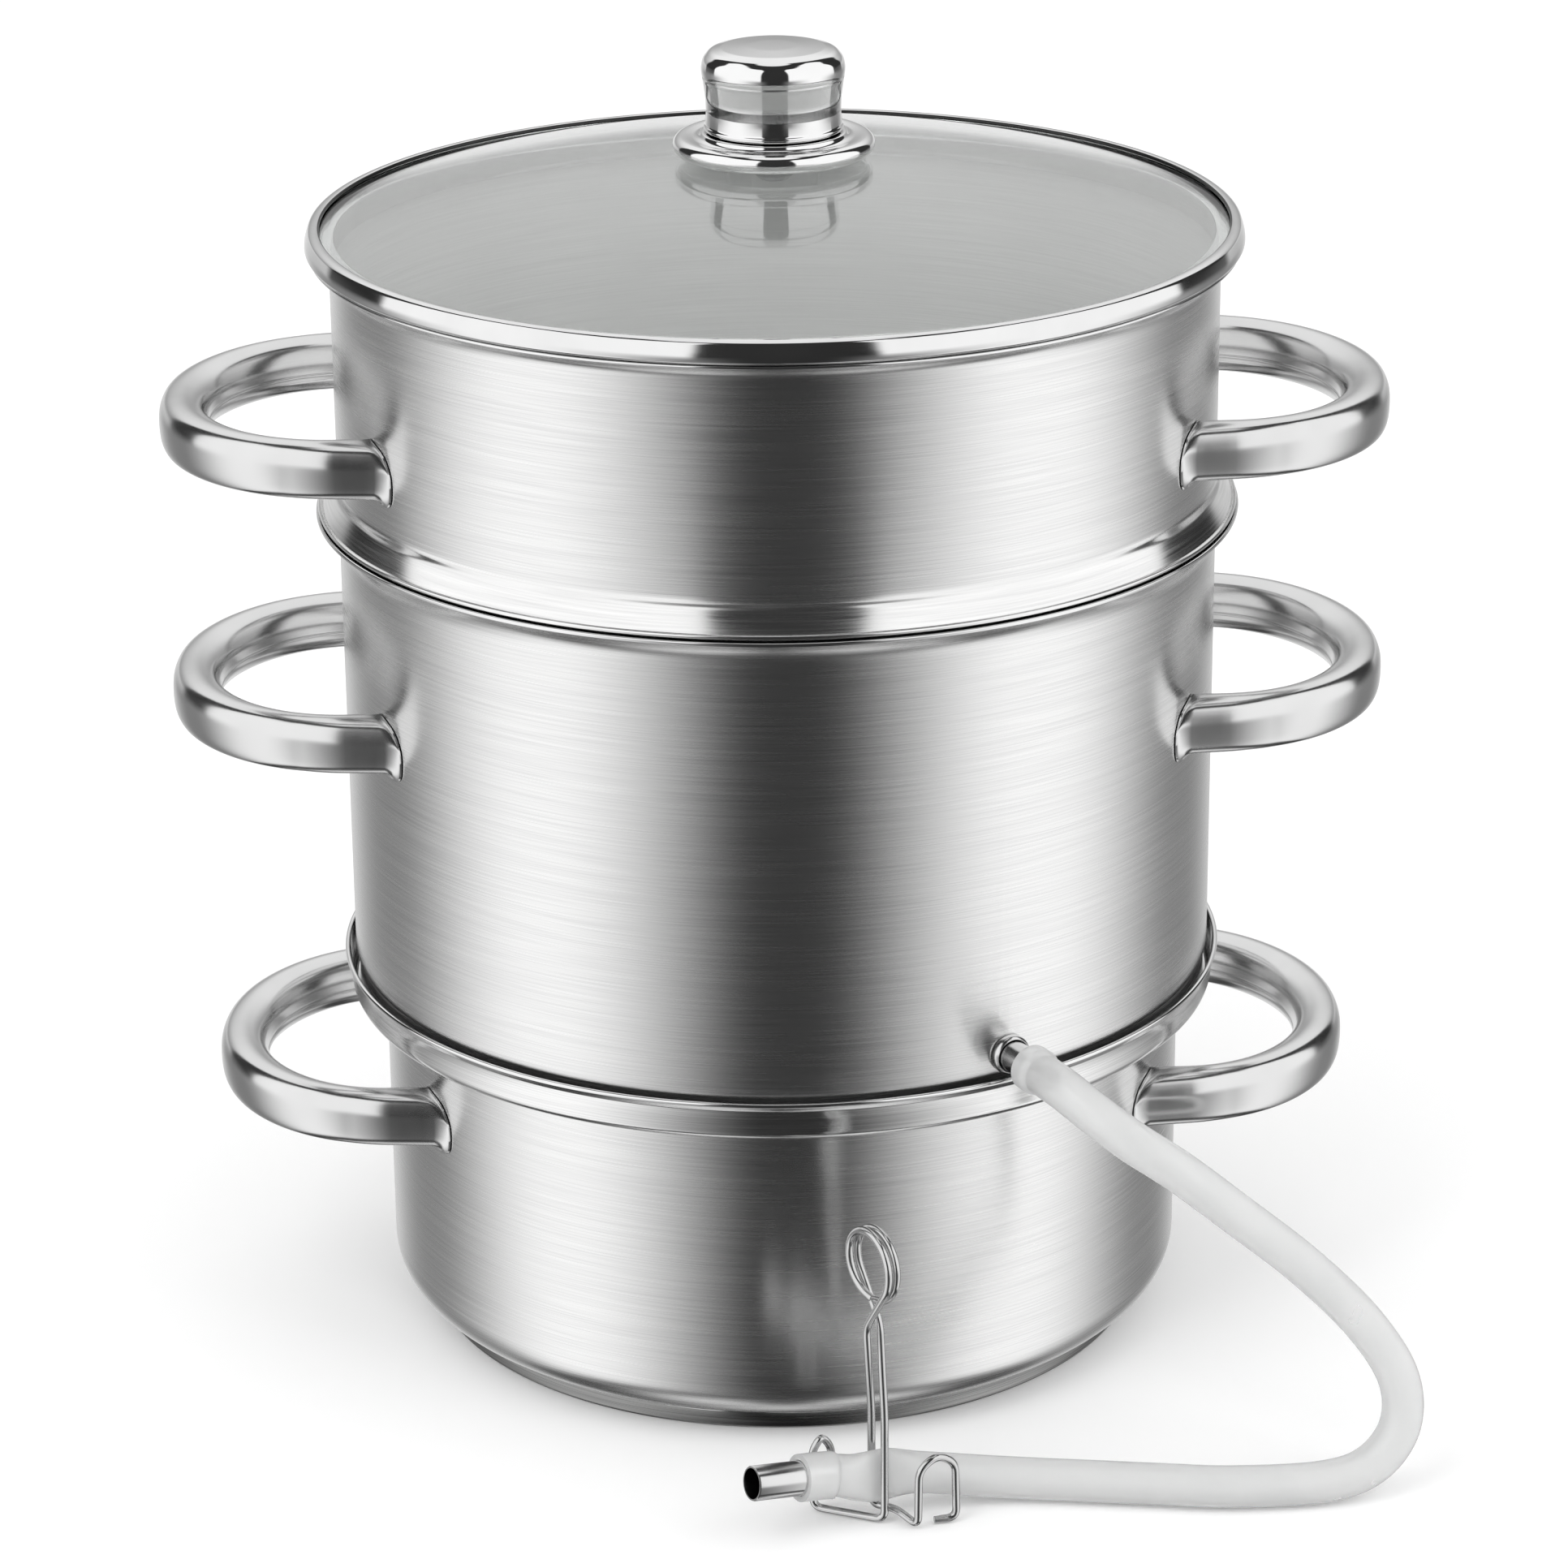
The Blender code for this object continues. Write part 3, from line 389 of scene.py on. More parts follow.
@dataclass(frozen=True)
class Finishes:
    """Every finish on the juicer, built once."""

    wall: bpy.types.Material
    rim: bpy.types.Material
    lip: bpy.types.Material
    base: bpy.types.Material
    # inner: rougher satin steel, with a paler, partly diffuse tint that is painted light on the insides.
    inner: bpy.types.Material
    mirror: bpy.types.Material
    # shade: near-black steel, painted shade in the gap by the lid's glass and in the nozzle's bore.
    shade: bpy.types.Material
    knob: bpy.types.Material
    band: bpy.types.Material
    wire: bpy.types.Material
    glass: bpy.types.Material
    silicone: bpy.types.Material
    seal: bpy.types.Material
    aluminium: bpy.types.Material

    @classmethod
    def make(cls) -> "Finishes":
        """Build the materials.

        Returns:
            The finishes.
        """
        return cls(
            wall=BrushedSteel("brushed_wall").build(),
            rim=PolishedSteel("polished_rim", roughness=(0.06, 0.12)).build(),
            lip=BrushedSteel("polished_lip", (0.74, 0.74, 0.74), (0.90, 0.90, 0.895), (0.13, 0.20),
                             relief_depth=0.00003, anisotropy=0.4).build(),
            base=BrushedSteel("brushed_base", (0.20, 0.20, 0.20), (0.34, 0.34, 0.335), (0.24, 0.34)).build(),
            # The insides' steel: satin, and paler and partly diffuse as painted light.
            inner=BrushedSteel("satin_inside_painted_light", (0.88, 0.88, 0.875), (0.985, 0.985, 0.98), (0.30, 0.42),
                               anisotropy=0.5, metallic=0.45).build(),
            mirror=PolishedSteel("polished_handle", (0.74, 0.74, 0.74), (0.15, 0.20)).build(),
            # Near-black steel as painted shade, for the gap by the lid's glass and the nozzle's bore.
            shade=PolishedSteel("painted_shade_steel", (0.05, 0.05, 0.05), (0.25, 0.35)).build(),
            knob=PolishedSteel("polished_knob", (0.86, 0.86, 0.86)).build(),
            band=PolishedSteel("polished_band", (0.80, 0.80, 0.80), (0.05, 0.10)).build(),
            wire=PolishedSteel("polished_wire", (0.66, 0.66, 0.66), (0.15, 0.22)).build(),
            glass=ClearGlass("clear_glass").build(),
            silicone=MilkySilicone("milky_silicone").build(),
            seal=MilkySilicone("seal_silicone", (0.70, 0.71, 0.71), (0.82, 0.83, 0.83), 0.2).build(),
            aluminium=PlainAluminium("plain_aluminium").build(),
        )


# ---------------------------------------------------------------- profiles


def unit(value: float) -> float:
    """A value kept between 0 and 1."""
    return min(1.0, max(0.0, value))


def soft_bend(start: Vector, corner: Vector, end: Vector, steps: int) -> list[Vector]:
    """Points on a soft bend from a start round a corner to an end, both included."""
    shares = [step / steps for step in range(steps + 1)]
    return [start.lerp(corner, share).lerp(corner.lerp(end, share), share) for share in shares]


def eased(points: Sequence[Sequence[float]], radius: float, steps: int = 5) -> list[tuple[float, ...]]:
    """Round every corner of an open line.

    Args:
        points: the corners, ends included.
        radius: how far from a corner its rounding starts, at most.
        steps: number of chords in each rounding.

    Returns:
        The rounded line.
    """
    corners = [Vector(point) for point in points]
    rounded = [corners[0]]
    for before, corner, after in zip(corners, corners[1:], corners[2:]):
        back, ahead = before - corner, after - corner
        trim = min(radius, EASE_SHARE * back.length, EASE_SHARE * ahead.length)
        start, end = corner + back.normalized() * trim, corner + ahead.normalized() * trim
        rounded += soft_bend(start, corner, end, steps)
    rounded.append(corners[-1])
    return [tuple(point) for point in rounded]


@dataclass(frozen=True)
class Arc:
    """A round stretch of a profile, with its centre as (radius, height)."""

    centre: Point
    radius: float
    start_deg: float
    end_deg: float
    steps: int = 12

    def points(self) -> list[Point]:
        """The stretch's points, both ends included.

        Returns:
            Points of (radius, height).
        """
        turn = self.end_deg - self.start_deg
        angles = [math.radians(self.start_deg + turn * step / self.steps) for step in range(self.steps + 1)]
        across, up = self.centre
        return [(across + self.radius * math.cos(a), up + self.radius * math.sin(a)) for a in angles]


@dataclass(frozen=True)
class Flare:
    """A quarter-oval stretch that leaves a wall upright, with how far out and up it goes."""

    radius: float
    low: float
    reach: float
    height: float
    steps: int = 14

    def points(self) -> list[Point]:
        """The stretch's points, from the wall out, both ends included."""
        angles = [0.5 * math.pi * step / self.steps for step in range(self.steps + 1)]
        return [(self.radius + self.reach * (1.0 - math.cos(a)), self.low + self.height * math.sin(a))
                for a in angles]


@dataclass(frozen=True)
class Run:
    """A stretch between corners of (radius, height) in millimetres, each eased where an ease is given."""

    corners: Sequence[Point]
    ease: float = 0.0
    steps: int = 5

    def points(self) -> list[Point]:
        """The stretch's points in metres, both ends included."""
        corners = [(radius * MM, height * MM) for radius, height in self.corners]
        return eased(corners, self.ease, self.steps) if self.ease else corners


def profile(*stretches: Arc | Flare | Run) -> list[Point]:
    """The points of several stretches in a row."""
    return [point for stretch in stretches for point in stretch.points()]


# ---------------------------------------------------------------- shapes


def put_in_scene(name: str, data: bpy.types.ID) -> bpy.types.Object:
    """Make an object and link it to the scene.

    Args:
        name: the object's name.
        data: its mesh, camera or lamp.

    Returns:
        The object.
    """
    item = bpy.data.objects.new(name, data)
    bpy.context.scene.collection.objects.link(item)
    return item


def object_from(name: str, verts: Sequence, faces: Sequence, material: bpy.types.Material,
                sharp_deg: float = SHARP_DEG) -> bpy.types.Object:
    """Make an object with outward faces, smooth shading and a material.

    Args:
        name: the piece's name.
        verts: its points, in metres.
        faces: its faces, as point numbers.
        material: its finish.
        sharp_deg: the angle from which an edge stays sharp.

    Returns:
        The object, linked to the scene.
    """
    mesh = bpy.data.meshes.new(name)
    mesh.from_pydata([tuple(v) for v in verts], [], [tuple(f) for f in faces])
    shape = bmesh.new()
    shape.from_mesh(mesh)
    bmesh.ops.remove_doubles(shape, verts=shape.verts, dist=MERGE_DISTANCE)
    bmesh.ops.recalc_face_normals(shape, faces=shape.faces)
    shape.to_mesh(mesh)
    shape.free()
    mesh.shade_smooth()
    mesh.set_sharp_from_angle(angle=math.radians(sharp_deg))
    mesh.materials.append(material)
    return put_in_scene(name, mesh)


def quads(rows: int, sides: int, closed: bool) -> list[tuple[int, ...]]:
    """Faces between rings of points.

    Args:
        rows: number of rings.
        sides: number of points in each.
        closed: whether the last ring joins the first.

    Returns:
        The faces, as point numbers.
    """
    faces = []
    for row in range(rows if closed else rows - 1):
        low, high = row * sides, ((row + 1) % rows) * sides
        for s in range(sides):
            t = (s + 1) % sides
            faces.append((low + s, low + t, high + t, high + s))
    return faces


def lathe(name: str, outline: Sequence[Point], material: bpy.types.Material, sides: int = 224,
          axis: Matrix | None = None) -> bpy.types.Object:
    """Spin an outline about Z. One that starts and ends on the axis is closed there, any other is a ring.

    Args:
        name: the piece's name.
        outline: points of (radius, height).
        material: its finish.
        sides: number of facets round.
        axis: where the spun shape goes, if not on Z.

    Returns:
        The object.
    """
    capped = outline[0][0] < ON_AXIS and outline[-1][0] < ON_AXIS
    body = outline[1:-1] if capped else outline
    turns = [(math.cos(FULL_TURN * s / sides), math.sin(FULL_TURN * s / sides)) for s in range(sides)]
    verts = [Vector((r * c, r * s, z)) for r, z in body for c, s in turns]
    faces = quads(len(body), sides, not capped)
    if capped:
        first, last, top = len(verts), len(verts) + 1, (len(body) - 1) * sides
        verts += [UP * outline[0][1], UP * outline[-1][1]]
        faces += [(first, (s + 1) % sides, s) for s in range(sides)]
        faces += [(last, top + s, top + (s + 1) % sides) for s in range(sides)]
    if axis is not None:
        verts = [axis @ v for v in verts]
    return object_from(name, verts, faces, material)


def skin(name: str, rings: Sequence[Sequence[Vector]], material: bpy.types.Material,
         sharp_deg: float, loop: bool = False) -> bpy.types.Object:
    """Skin a row of rings. Its ends are capped, or joined to each other for a tube with a bore.

    Args:
        name: the piece's name.
        rings: rings with the same number of points.
        material: its finish.
        sharp_deg: the angle from which an edge stays sharp.
        loop: whether the last ring joins the first.

    Returns:
        The object.
    """
    count = len(rings[0])
    verts = [point for ring in rings for point in ring]
    faces = quads(len(rings), count, loop)
    if not loop:
        faces.append(tuple(reversed(range(count))))
        faces.append(tuple(range(len(verts) - count, len(verts))))
    return object_from(name, verts, faces, material, sharp_deg)


def smooth_route(points: Sequence[Spot], count: int) -> list[Vector]:
    """Evenly spaced points on a smooth curve through a list of points.

    Args:
        points: points on the curve.
        count: number of points wanted.

    Returns:
        The evenly spaced points.
    """
    knots = [Vector(point) for point in points]
    ends = [knots[0] * 2.0 - knots[1]] + knots + [knots[-1] * 2.0 - knots[-2]]
    dense = []
    for before, start, end, after in zip(ends, ends[1:], ends[2:], ends[3:]):
        for step in range(CURVE_STEPS):
            t = step / CURVE_STEPS
            dense.append(0.5 * (2.0 * start + (end - before) * t
                                + (2.0 * before - 5.0 * start + 4.0 * end - after) * t ** 2
                                + (3.0 * start - before - 3.0 * end + after) * t ** 3))
    dense.append(knots[-1])
    table = np.array([tuple(point) for point in dense])
    run = np.concatenate([[0.0], np.cumsum(np.linalg.norm(np.diff(table, axis=0), axis=1))])
    wanted = np.linspace(0.0, run[-1], count)
    return [Vector([float(np.interp(w, run, table[:, k])) for k in range(3)]) for w in wanted]


def directions(points: Sequence[Vector]) -> list[Vector]:
    """Directions along a row of points."""
    last = len(points) - 1
    return [(points[min(i + 1, last)] - points[max(i - 1, 0)]).normalized() for i in range(last + 1)]


def aimed(place: Sequence[float], way: Vector) -> Matrix:
    """The place and turn of a thing that was spun about Z and now points another way."""
    return Matrix.Translation(place) @ way.to_track_quat("Z", "Y").to_matrix().to_4x4()


def freeze(piece: bpy.types.Object) -> None:
    """Turn a piece with its modifiers into a plain mesh.

    Args:
        piece: the piece.
    """
    bpy.context.view_layer.update()
    graph = bpy.context.evaluated_depsgraph_get()
    mesh = bpy.data.meshes.new_from_object(piece.evaluated_get(graph))
    piece.modifiers.clear()
    piece.data = mesh
    mesh.shade_smooth()
    mesh.set_sharp_from_angle(angle=math.radians(SHARP_DEG))


def off_axis(spot: Vector) -> float:
    """How far a point lies from the Z axis."""
    return math.hypot(spot.x, spot.y)


@dataclass(frozen=True)
class Zone:
    """The faces of a pot outside a radius, and above a height or below it."""

    radius: float
    height: float
    below: bool = False

    def holds(self, face: bpy.types.MeshPolygon) -> bool:
        """Whether a face lies in the zone."""
        beyond = face.center.z < self.height if self.below else face.center.z > self.height
        return beyond and off_axis(face.center) > self.radius


def dress(piece: bpy.types.Object, material: bpy.types.Material,
          chosen: Callable[[bpy.types.MeshPolygon], bool]) -> None:
    """Give some faces of a piece a finish of their own.

    Args:
        piece: the piece.
        material: their finish.
        chosen: says for a face whether it is one of them.
    """
    slot = len(piece.data.materials)
    piece.data.materials.append(material)
    for face in piece.data.polygons:
        if chosen(face):
            face.material_index = slot


def present(piece: bpy.types.Object, body: Body, slot: Slot, *nodes: str) -> bpy.types.Object:
    """Put a finished piece on its body and hide the CAD nodes it stands for.

    Args:
        piece: the finished piece.
        body: the body it rides on.
        slot: the record's slot for its finish; not used.
        *nodes: the CAD nodes it replaces.

    Returns:
        The piece.
    """
    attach(piece, body.value)
    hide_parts(*nodes)
    LOG.info("%s rides on %s", piece.name, body.value)
    return piece


# ---------------------------------------------------------------- perforations


@dataclass
class Perforations:
    """Round holes through a sheet, cut by a Geometry Nodes tree."""

    hole_radius: float = 0.0021
    hole_depth: float = 0.006
    hole_sides: int = 12
    ring_pitch: float = 0.0105
    rings: int = 10
    step_per_ring: int = 6
    wall_rows: Sequence[float] = (0.2085, 0.2190, 0.2295)
    wall_holes: int = 60

    def places(self, floor_height: float, wall_radius: float) -> bpy.types.Object:
        """Points where the holes go, each with the way it is drilled.

        Args:
            floor_height: height of the middle of the floor.
            wall_radius: radius of the middle of the wall.

        Returns:
            A helper object of loose points, with a vector attribute named way.
        """
        points, ways = [(0.0, 0.0, floor_height)], [tuple(UP)]
        for ring in range(1, self.rings + 1):
            holes, radius = self.step_per_ring * ring, ring * self.ring_pitch
            for index in range(holes):
                turn = FULL_TURN * (index + 0.5 * (ring % 2)) / holes
                points.append((radius * math.cos(turn), radius * math.sin(turn), floor_height))
                ways.append(tuple(UP))
        for row, height in enumerate(self.wall_rows):
            for index in range(self.wall_holes):
                turn = FULL_TURN * (index + 0.5 * (row % 2)) / self.wall_holes
                way = (math.cos(turn), math.sin(turn), 0.0)
                points.append((way[0] * wall_radius, way[1] * wall_radius, height))
                ways.append(way)
        mesh = bpy.data.meshes.new("hole_places")
        mesh.from_pydata(points, [], [])
        attribute = mesh.attributes.new("way", "FLOAT_VECTOR", "POINT")
        attribute.data.foreach_set("vector", [part for way in ways for part in way])
        return put_in_scene("hole_places", mesh)

    def tree(self) -> bpy.types.GeometryNodeTree:
        """Build the tree: a drill at each point, and the sheet less the drills.

        Returns:
            The tree, with named inputs for the places, the holes' sizes and the finish.
        """
        sheet = NodeSheet(bpy.data.node_groups.new("perforations", "GeometryNodeTree"))
        for name, kind in (("Geometry", "Geometry"), ("Places", "Object"), ("Hole radius", "Float"),
                           ("Hole depth", "Float"), ("Hole sides", "Int"), ("Finish", "Material")):
            sheet.tree.interface.new_socket(name, in_out="INPUT", socket_type="NodeSocket" + kind)
        sheet.tree.interface.new_socket("Geometry", in_out="OUTPUT", socket_type="NodeSocketGeometry")
        given = sheet.add("NodeGroupInput").outputs
        places = sheet.add("GeometryNodeObjectInfo", {"Object": given["Places"]}).outputs
        drill = sheet.add("GeometryNodeMeshCylinder", {
            "Vertices": given["Hole sides"], "Radius": given["Hole radius"], "Depth": given["Hole depth"],
        }).outputs
        way = sheet.add("GeometryNodeInputNamedAttribute", {"Name": "way"}, data_type="FLOAT_VECTOR").outputs
        turn = sheet.add("FunctionNodeAlignRotationToVector", {"Vector": way["Attribute"]}).outputs
        drills = sheet.add("GeometryNodeInstanceOnPoints", {
            "Points": places["Geometry"], "Instance": drill["Mesh"], "Rotation": turn["Rotation"],
        }).outputs
        real = sheet.add("GeometryNodeRealizeInstances", {"Geometry": drills["Instances"]}).outputs
        cut = sheet.add("GeometryNodeMeshBoolean", {"Mesh 1": given["Geometry"], "Mesh 2": real["Geometry"]},
                        operation="DIFFERENCE", solver="EXACT").outputs
        finish = sheet.add("GeometryNodeSetMaterial", {"Geometry": cut["Mesh"], "Material": given["Finish"]})
        sheet.add("NodeGroupOutput", {"Geometry": finish.outputs["Geometry"]})
        return sheet.tree

    def cut(self, sheet: bpy.types.Object, floor_height: float, wall_radius: float,
            material: bpy.types.Material) -> None:
        """Drill a sheet and leave it as a plain mesh.

        Args:
            sheet: the piece to drill.
            floor_height: height of the middle of its floor.
            wall_radius: radius of the middle of its wall.
            material: its finish.
        """
        places = self.places(floor_height, wall_radius)
        modifier = sheet.modifiers.new("perforations", "NODES")
        modifier.node_group = self.tree()
        values = {"Places": places, "Hole radius": self.hole_radius, "Hole depth": self.hole_depth,
                  "Hole sides": self.hole_sides, "Finish": material}
        for item in modifier.node_group.interface.items_tree:
            if item.in_out == "INPUT" and item.name in values:
                modifier[item.identifier] = values[item.name]
        freeze(sheet)
        bpy.data.objects.remove(places, do_unlink=True)


# ---------------------------------------------------------------- handles


@dataclass
class LoopHandle:
    """A hollow-looking oval loop of a D-shaped tube, with spread feet on the pot's wall.

    The section is in shares of half the width and half the height, with its outer side first.
    """

    wall_radius: float
    height: float
    half_span: float = 0.055
    reach: float = 0.0515
    sink: float = 0.002
    width: float = 0.0145
    tall: float = 0.017
    foot_spread: float = 0.0044
    foot_drop: float = 0.0029
    foot_length: float = 0.0042
    foot_edge: float = 0.0008
    foot_shares: Sequence[float] = (0.0, 0.01, 0.03, 0.07, 0.13, 0.21, 0.31, 0.43, 0.57, 0.72, 0.87, 1.0)
    arm_shares: Sequence[float] = (0.25, 0.5, 0.75)
    wall_gap: float = 0.0003
    arm_flare: float = 0.0034
    flare_length: float = 0.028
    flare_power: float = 1.2
    bend_stations: int = 110
    corner_radius: float = 0.30
    corner_share: float = 0.46
    corner_steps: int = 6
    sharp_deg: float = 42.0
    section: Sequence[Point] = (
        (0.955, -0.62), (1.00, -0.10), (0.965, 0.42), (0.70, 0.88), (0.10, 1.00), (-0.62, 0.76),
        (-0.97, 0.28), (-1.00, -0.18), (-0.94, -0.20), (-0.94, -0.23), (-1.00, -0.25), (-1.00, -0.48),
        (-0.62, -0.92), (0.10, -1.00), (0.78, -0.93),
    )
    smooth: list[Point] = field(init=False)

    def __post_init__(self) -> None:
        """Round the section's corners, once for every ring."""
        corners = [Vector(point) for point in self.section]
        self.smooth = []
        for before, corner, after in zip(corners[-1:] + corners, corners, corners[1:] + corners[:1]):
            start, end = (
                corner + side.normalized() * min(self.corner_radius, self.corner_share * side.length)
                for side in (before - corner, after - corner))
            self.smooth += [tuple(point) for point in soft_bend(start, corner, end, self.corner_steps)]

    def spread(self, distance: float) -> float:
        """How far a foot has spread at a distance from the wall: 1 in the flange and 0 past its fillet."""
        rest = unit((distance - self.foot_edge) / (self.foot_length - self.foot_edge))
        return 1.0 - math.sqrt(1.0 - (1.0 - rest) ** 2)

    def foot_ring(self, distance: float) -> list[Vector]:
        """A section on the foot at -Y, all of it at one distance from the wall.

        Args:
            distance: the distance from the wall's surface.

        Returns:
            The ring's points, with heights from the handle's middle.
        """
        spread = self.spread(distance)
        near = (1.0 - distance / self.flare_length) ** self.flare_power
        ring = []
        for out_share, up_share in self.smooth:
            outer = max(out_share, 0.0)
            side = outer * spread
            push = outer * self.arm_flare * near + side * (self.foot_spread - self.arm_flare)
            y = -(self.half_span + out_share * self.width / 2.0 + push)
            up = up_share * self.tall / 2.0 - side * self.foot_drop
            ring.append(Vector((math.sqrt(self.wall_radius ** 2 - y ** 2) + distance, y, up)))
        return ring

    def bend_ring(self, angle: float) -> list[Vector]:
        """A section on the half-oval bend, with its outer side flared near the wall.

        Args:
            angle: the angle round the bend from its middle, in radians.

        Returns:
            The ring's points, with heights from the handle's middle.
        """
        length = self.reach - self.width / 2.0 + self.sink
        start = self.wall_radius - self.sink
        place = Vector((start + length * math.cos(angle), self.half_span * math.sin(angle), 0.0))
        out = Vector((self.half_span * math.cos(angle), length * math.sin(angle), 0.0)).normalized()
        foot = math.sqrt(self.wall_radius ** 2 - (self.half_span + self.width / 2.0) ** 2)
        ring = []
        for out_share, up_share in self.smooth:
            point = place + out * out_share * self.width / 2.0 + UP * up_share * self.tall / 2.0
            near = unit(1.0 - (point.x - foot) / self.flare_length) ** self.flare_power
            push = self.arm_flare * near * max(out_share, 0.0)
            ring.append(point + Vector((0.0, math.copysign(push, point.y), 0.0)))
        return ring

    def build(self, name: str, material: bpy.types.Material, side: Side) -> bpy.types.Object:
        """Make the loop on the right, at +X, or turned to the left.

        Args:
            name: the piece's name.
            material: its finish.
            side: where it goes.

        Returns:
            The object.
        """
        fillet = self.foot_length - self.foot_edge
        distances = [self.wall_gap] + [self.foot_edge + share * fillet for share in self.foot_shares]
        foot = [self.foot_ring(distance) for distance in distances]
        bend = [self.bend_ring(math.pi * (step / self.bend_stations - 0.5))
                for step in range(self.bend_stations + 1)]
        last = foot[-1]
        foot += [[a.lerp(b, share) for a, b in zip(last, bend[0])] for share in self.arm_shares]
        other = [[Vector((p.x, -p.y, p.z)) for p in ring] for ring in reversed(foot)]
        facing = -1.0 if side is Side.LEFT else 1.0
        lift = UP * self.height
        rings = [[Vector((facing * p.x, facing * p.y, p.z)) + lift for p in ring]
                 for ring in foot + bend + other]
        return skin(name, rings, material, self.sharp_deg)


def hang_handles(pot: str, body: Body, radius: float, height: float, material: bpy.types.Material) -> None:
    """Make a pot's two handles and put them on its body.

    Args:
        pot: the pot's short name.
        body: its body.
        radius: radius of its wall.
        height: height of the handles' middle.
        material: their finish.
    """
    handle = LoopHandle(radius, height)
    for side in Side:
        piece = handle.build(f"{pot}_loop_{side.value}", material, side)
        present(piece, body, Slot.POLISHED, f"{pot}_handle_{side.value}")


# ---------------------------------------------------------------- pots


@dataclass
class WaterPan:
    """The water pan with its sandwich base."""

    radius: float = 0.1212
    wall: float = 0.0008
    floor: float = 0.0061
    corner: float = 0.014
    corner_steps: int = 14
    neck: Run = Run(((121.2, 88.0), (121.2, 99.4), (122.0, 102.4), (124.4, 102.9)), 0.0022, 7)
    shoulder: Arc = Arc((0.1285, 0.1059), 0.0030, -90.0, 0.0)
    collar: Run = Run(((131.5, 106.4), (131.62, 110.4), (132.0, 112.8), (132.75, 113.6)), 0.0009)
    bead: Arc = Arc((0.13260, 0.11465), 0.00074, -50.0, 180.0, 14)
    inside: Run = Run(((131.8, 114.2), (131.1, 111.0), (130.7, 103.8), (123.6, 103.75), (120.5, 100.6),
                       (120.4, 88.0)), 0.0012)
    collar_zone: Zone = Zone(0.1283, 0.1031)
    rim_zone: Zone = Zone(0.1300, 0.1130)
    handle_height: float = 0.0810
    base_radius: float = 0.1094
    base_height: float = 0.0058
    base_edge: float = 0.0014
    base_edge_steps: int = 8
    base_bevel: Point = (0.0003, 0.0005)
    base_zone: Zone = Zone(0.1086, 0.0050)

    def shell_profile(self) -> list[Point]:
        """The drawn sheet: floor, corner, wall, shoulder, collar and rolled rim, and back inside.

        Returns:
            Points of (radius, height).
        """
        middle = (self.radius - self.corner, self.floor + self.corner)
        outer = Arc(middle, self.corner, -90.0, 0.0, self.corner_steps)
        inner = Arc(middle, self.corner - self.wall, 0.0, -90.0, self.corner_steps)
        sheet = profile(outer, self.neck, self.shoulder, self.collar, self.bead, self.inside, inner)
        return [(0.0, self.floor)] + sheet + [(0.0, self.floor + self.wall)]

    def base_profile(self) -> list[Point]:
        """The cap over the heat-spreading disc.

        Returns:
            Points of (radius, height).
        """
        outer, inner = self.base_radius, self.base_radius - self.wall
        middle = (outer - self.base_edge, self.base_edge)
        edge = Arc(middle, self.base_edge, -90.0, 0.0, self.base_edge_steps)
        across, down = self.base_bevel
        return [(0.0, 0.0)] + edge.points() + [
            (outer, self.base_height - down), (outer - across, self.base_height), (inner, self.base_height),
            (inner, self.wall), (0.0, self.wall)]

    def build(self, finishes: Finishes) -> None:
        """Make the pan's pieces.

        Args:
            finishes: the juicer's finishes.
        """
        shell = lathe("pan_shell", self.shell_profile(), finishes.wall)
        dress(shell, finishes.lip, self.collar_zone.holds)
        dress(shell, finishes.rim, self.rim_zone.holds)
        present(shell, Body.PAN, Slot.BRUSHED, "water_pan")
        cap = lathe("base_disc_cap", self.base_profile(), finishes.base)
        dress(cap, finishes.rim, self.base_zone.holds)
        present(cap, Body.PAN, Slot.BASE, "base_cap")
        hang_handles("pan", Body.PAN, self.radius, self.handle_height, finishes.mirror)


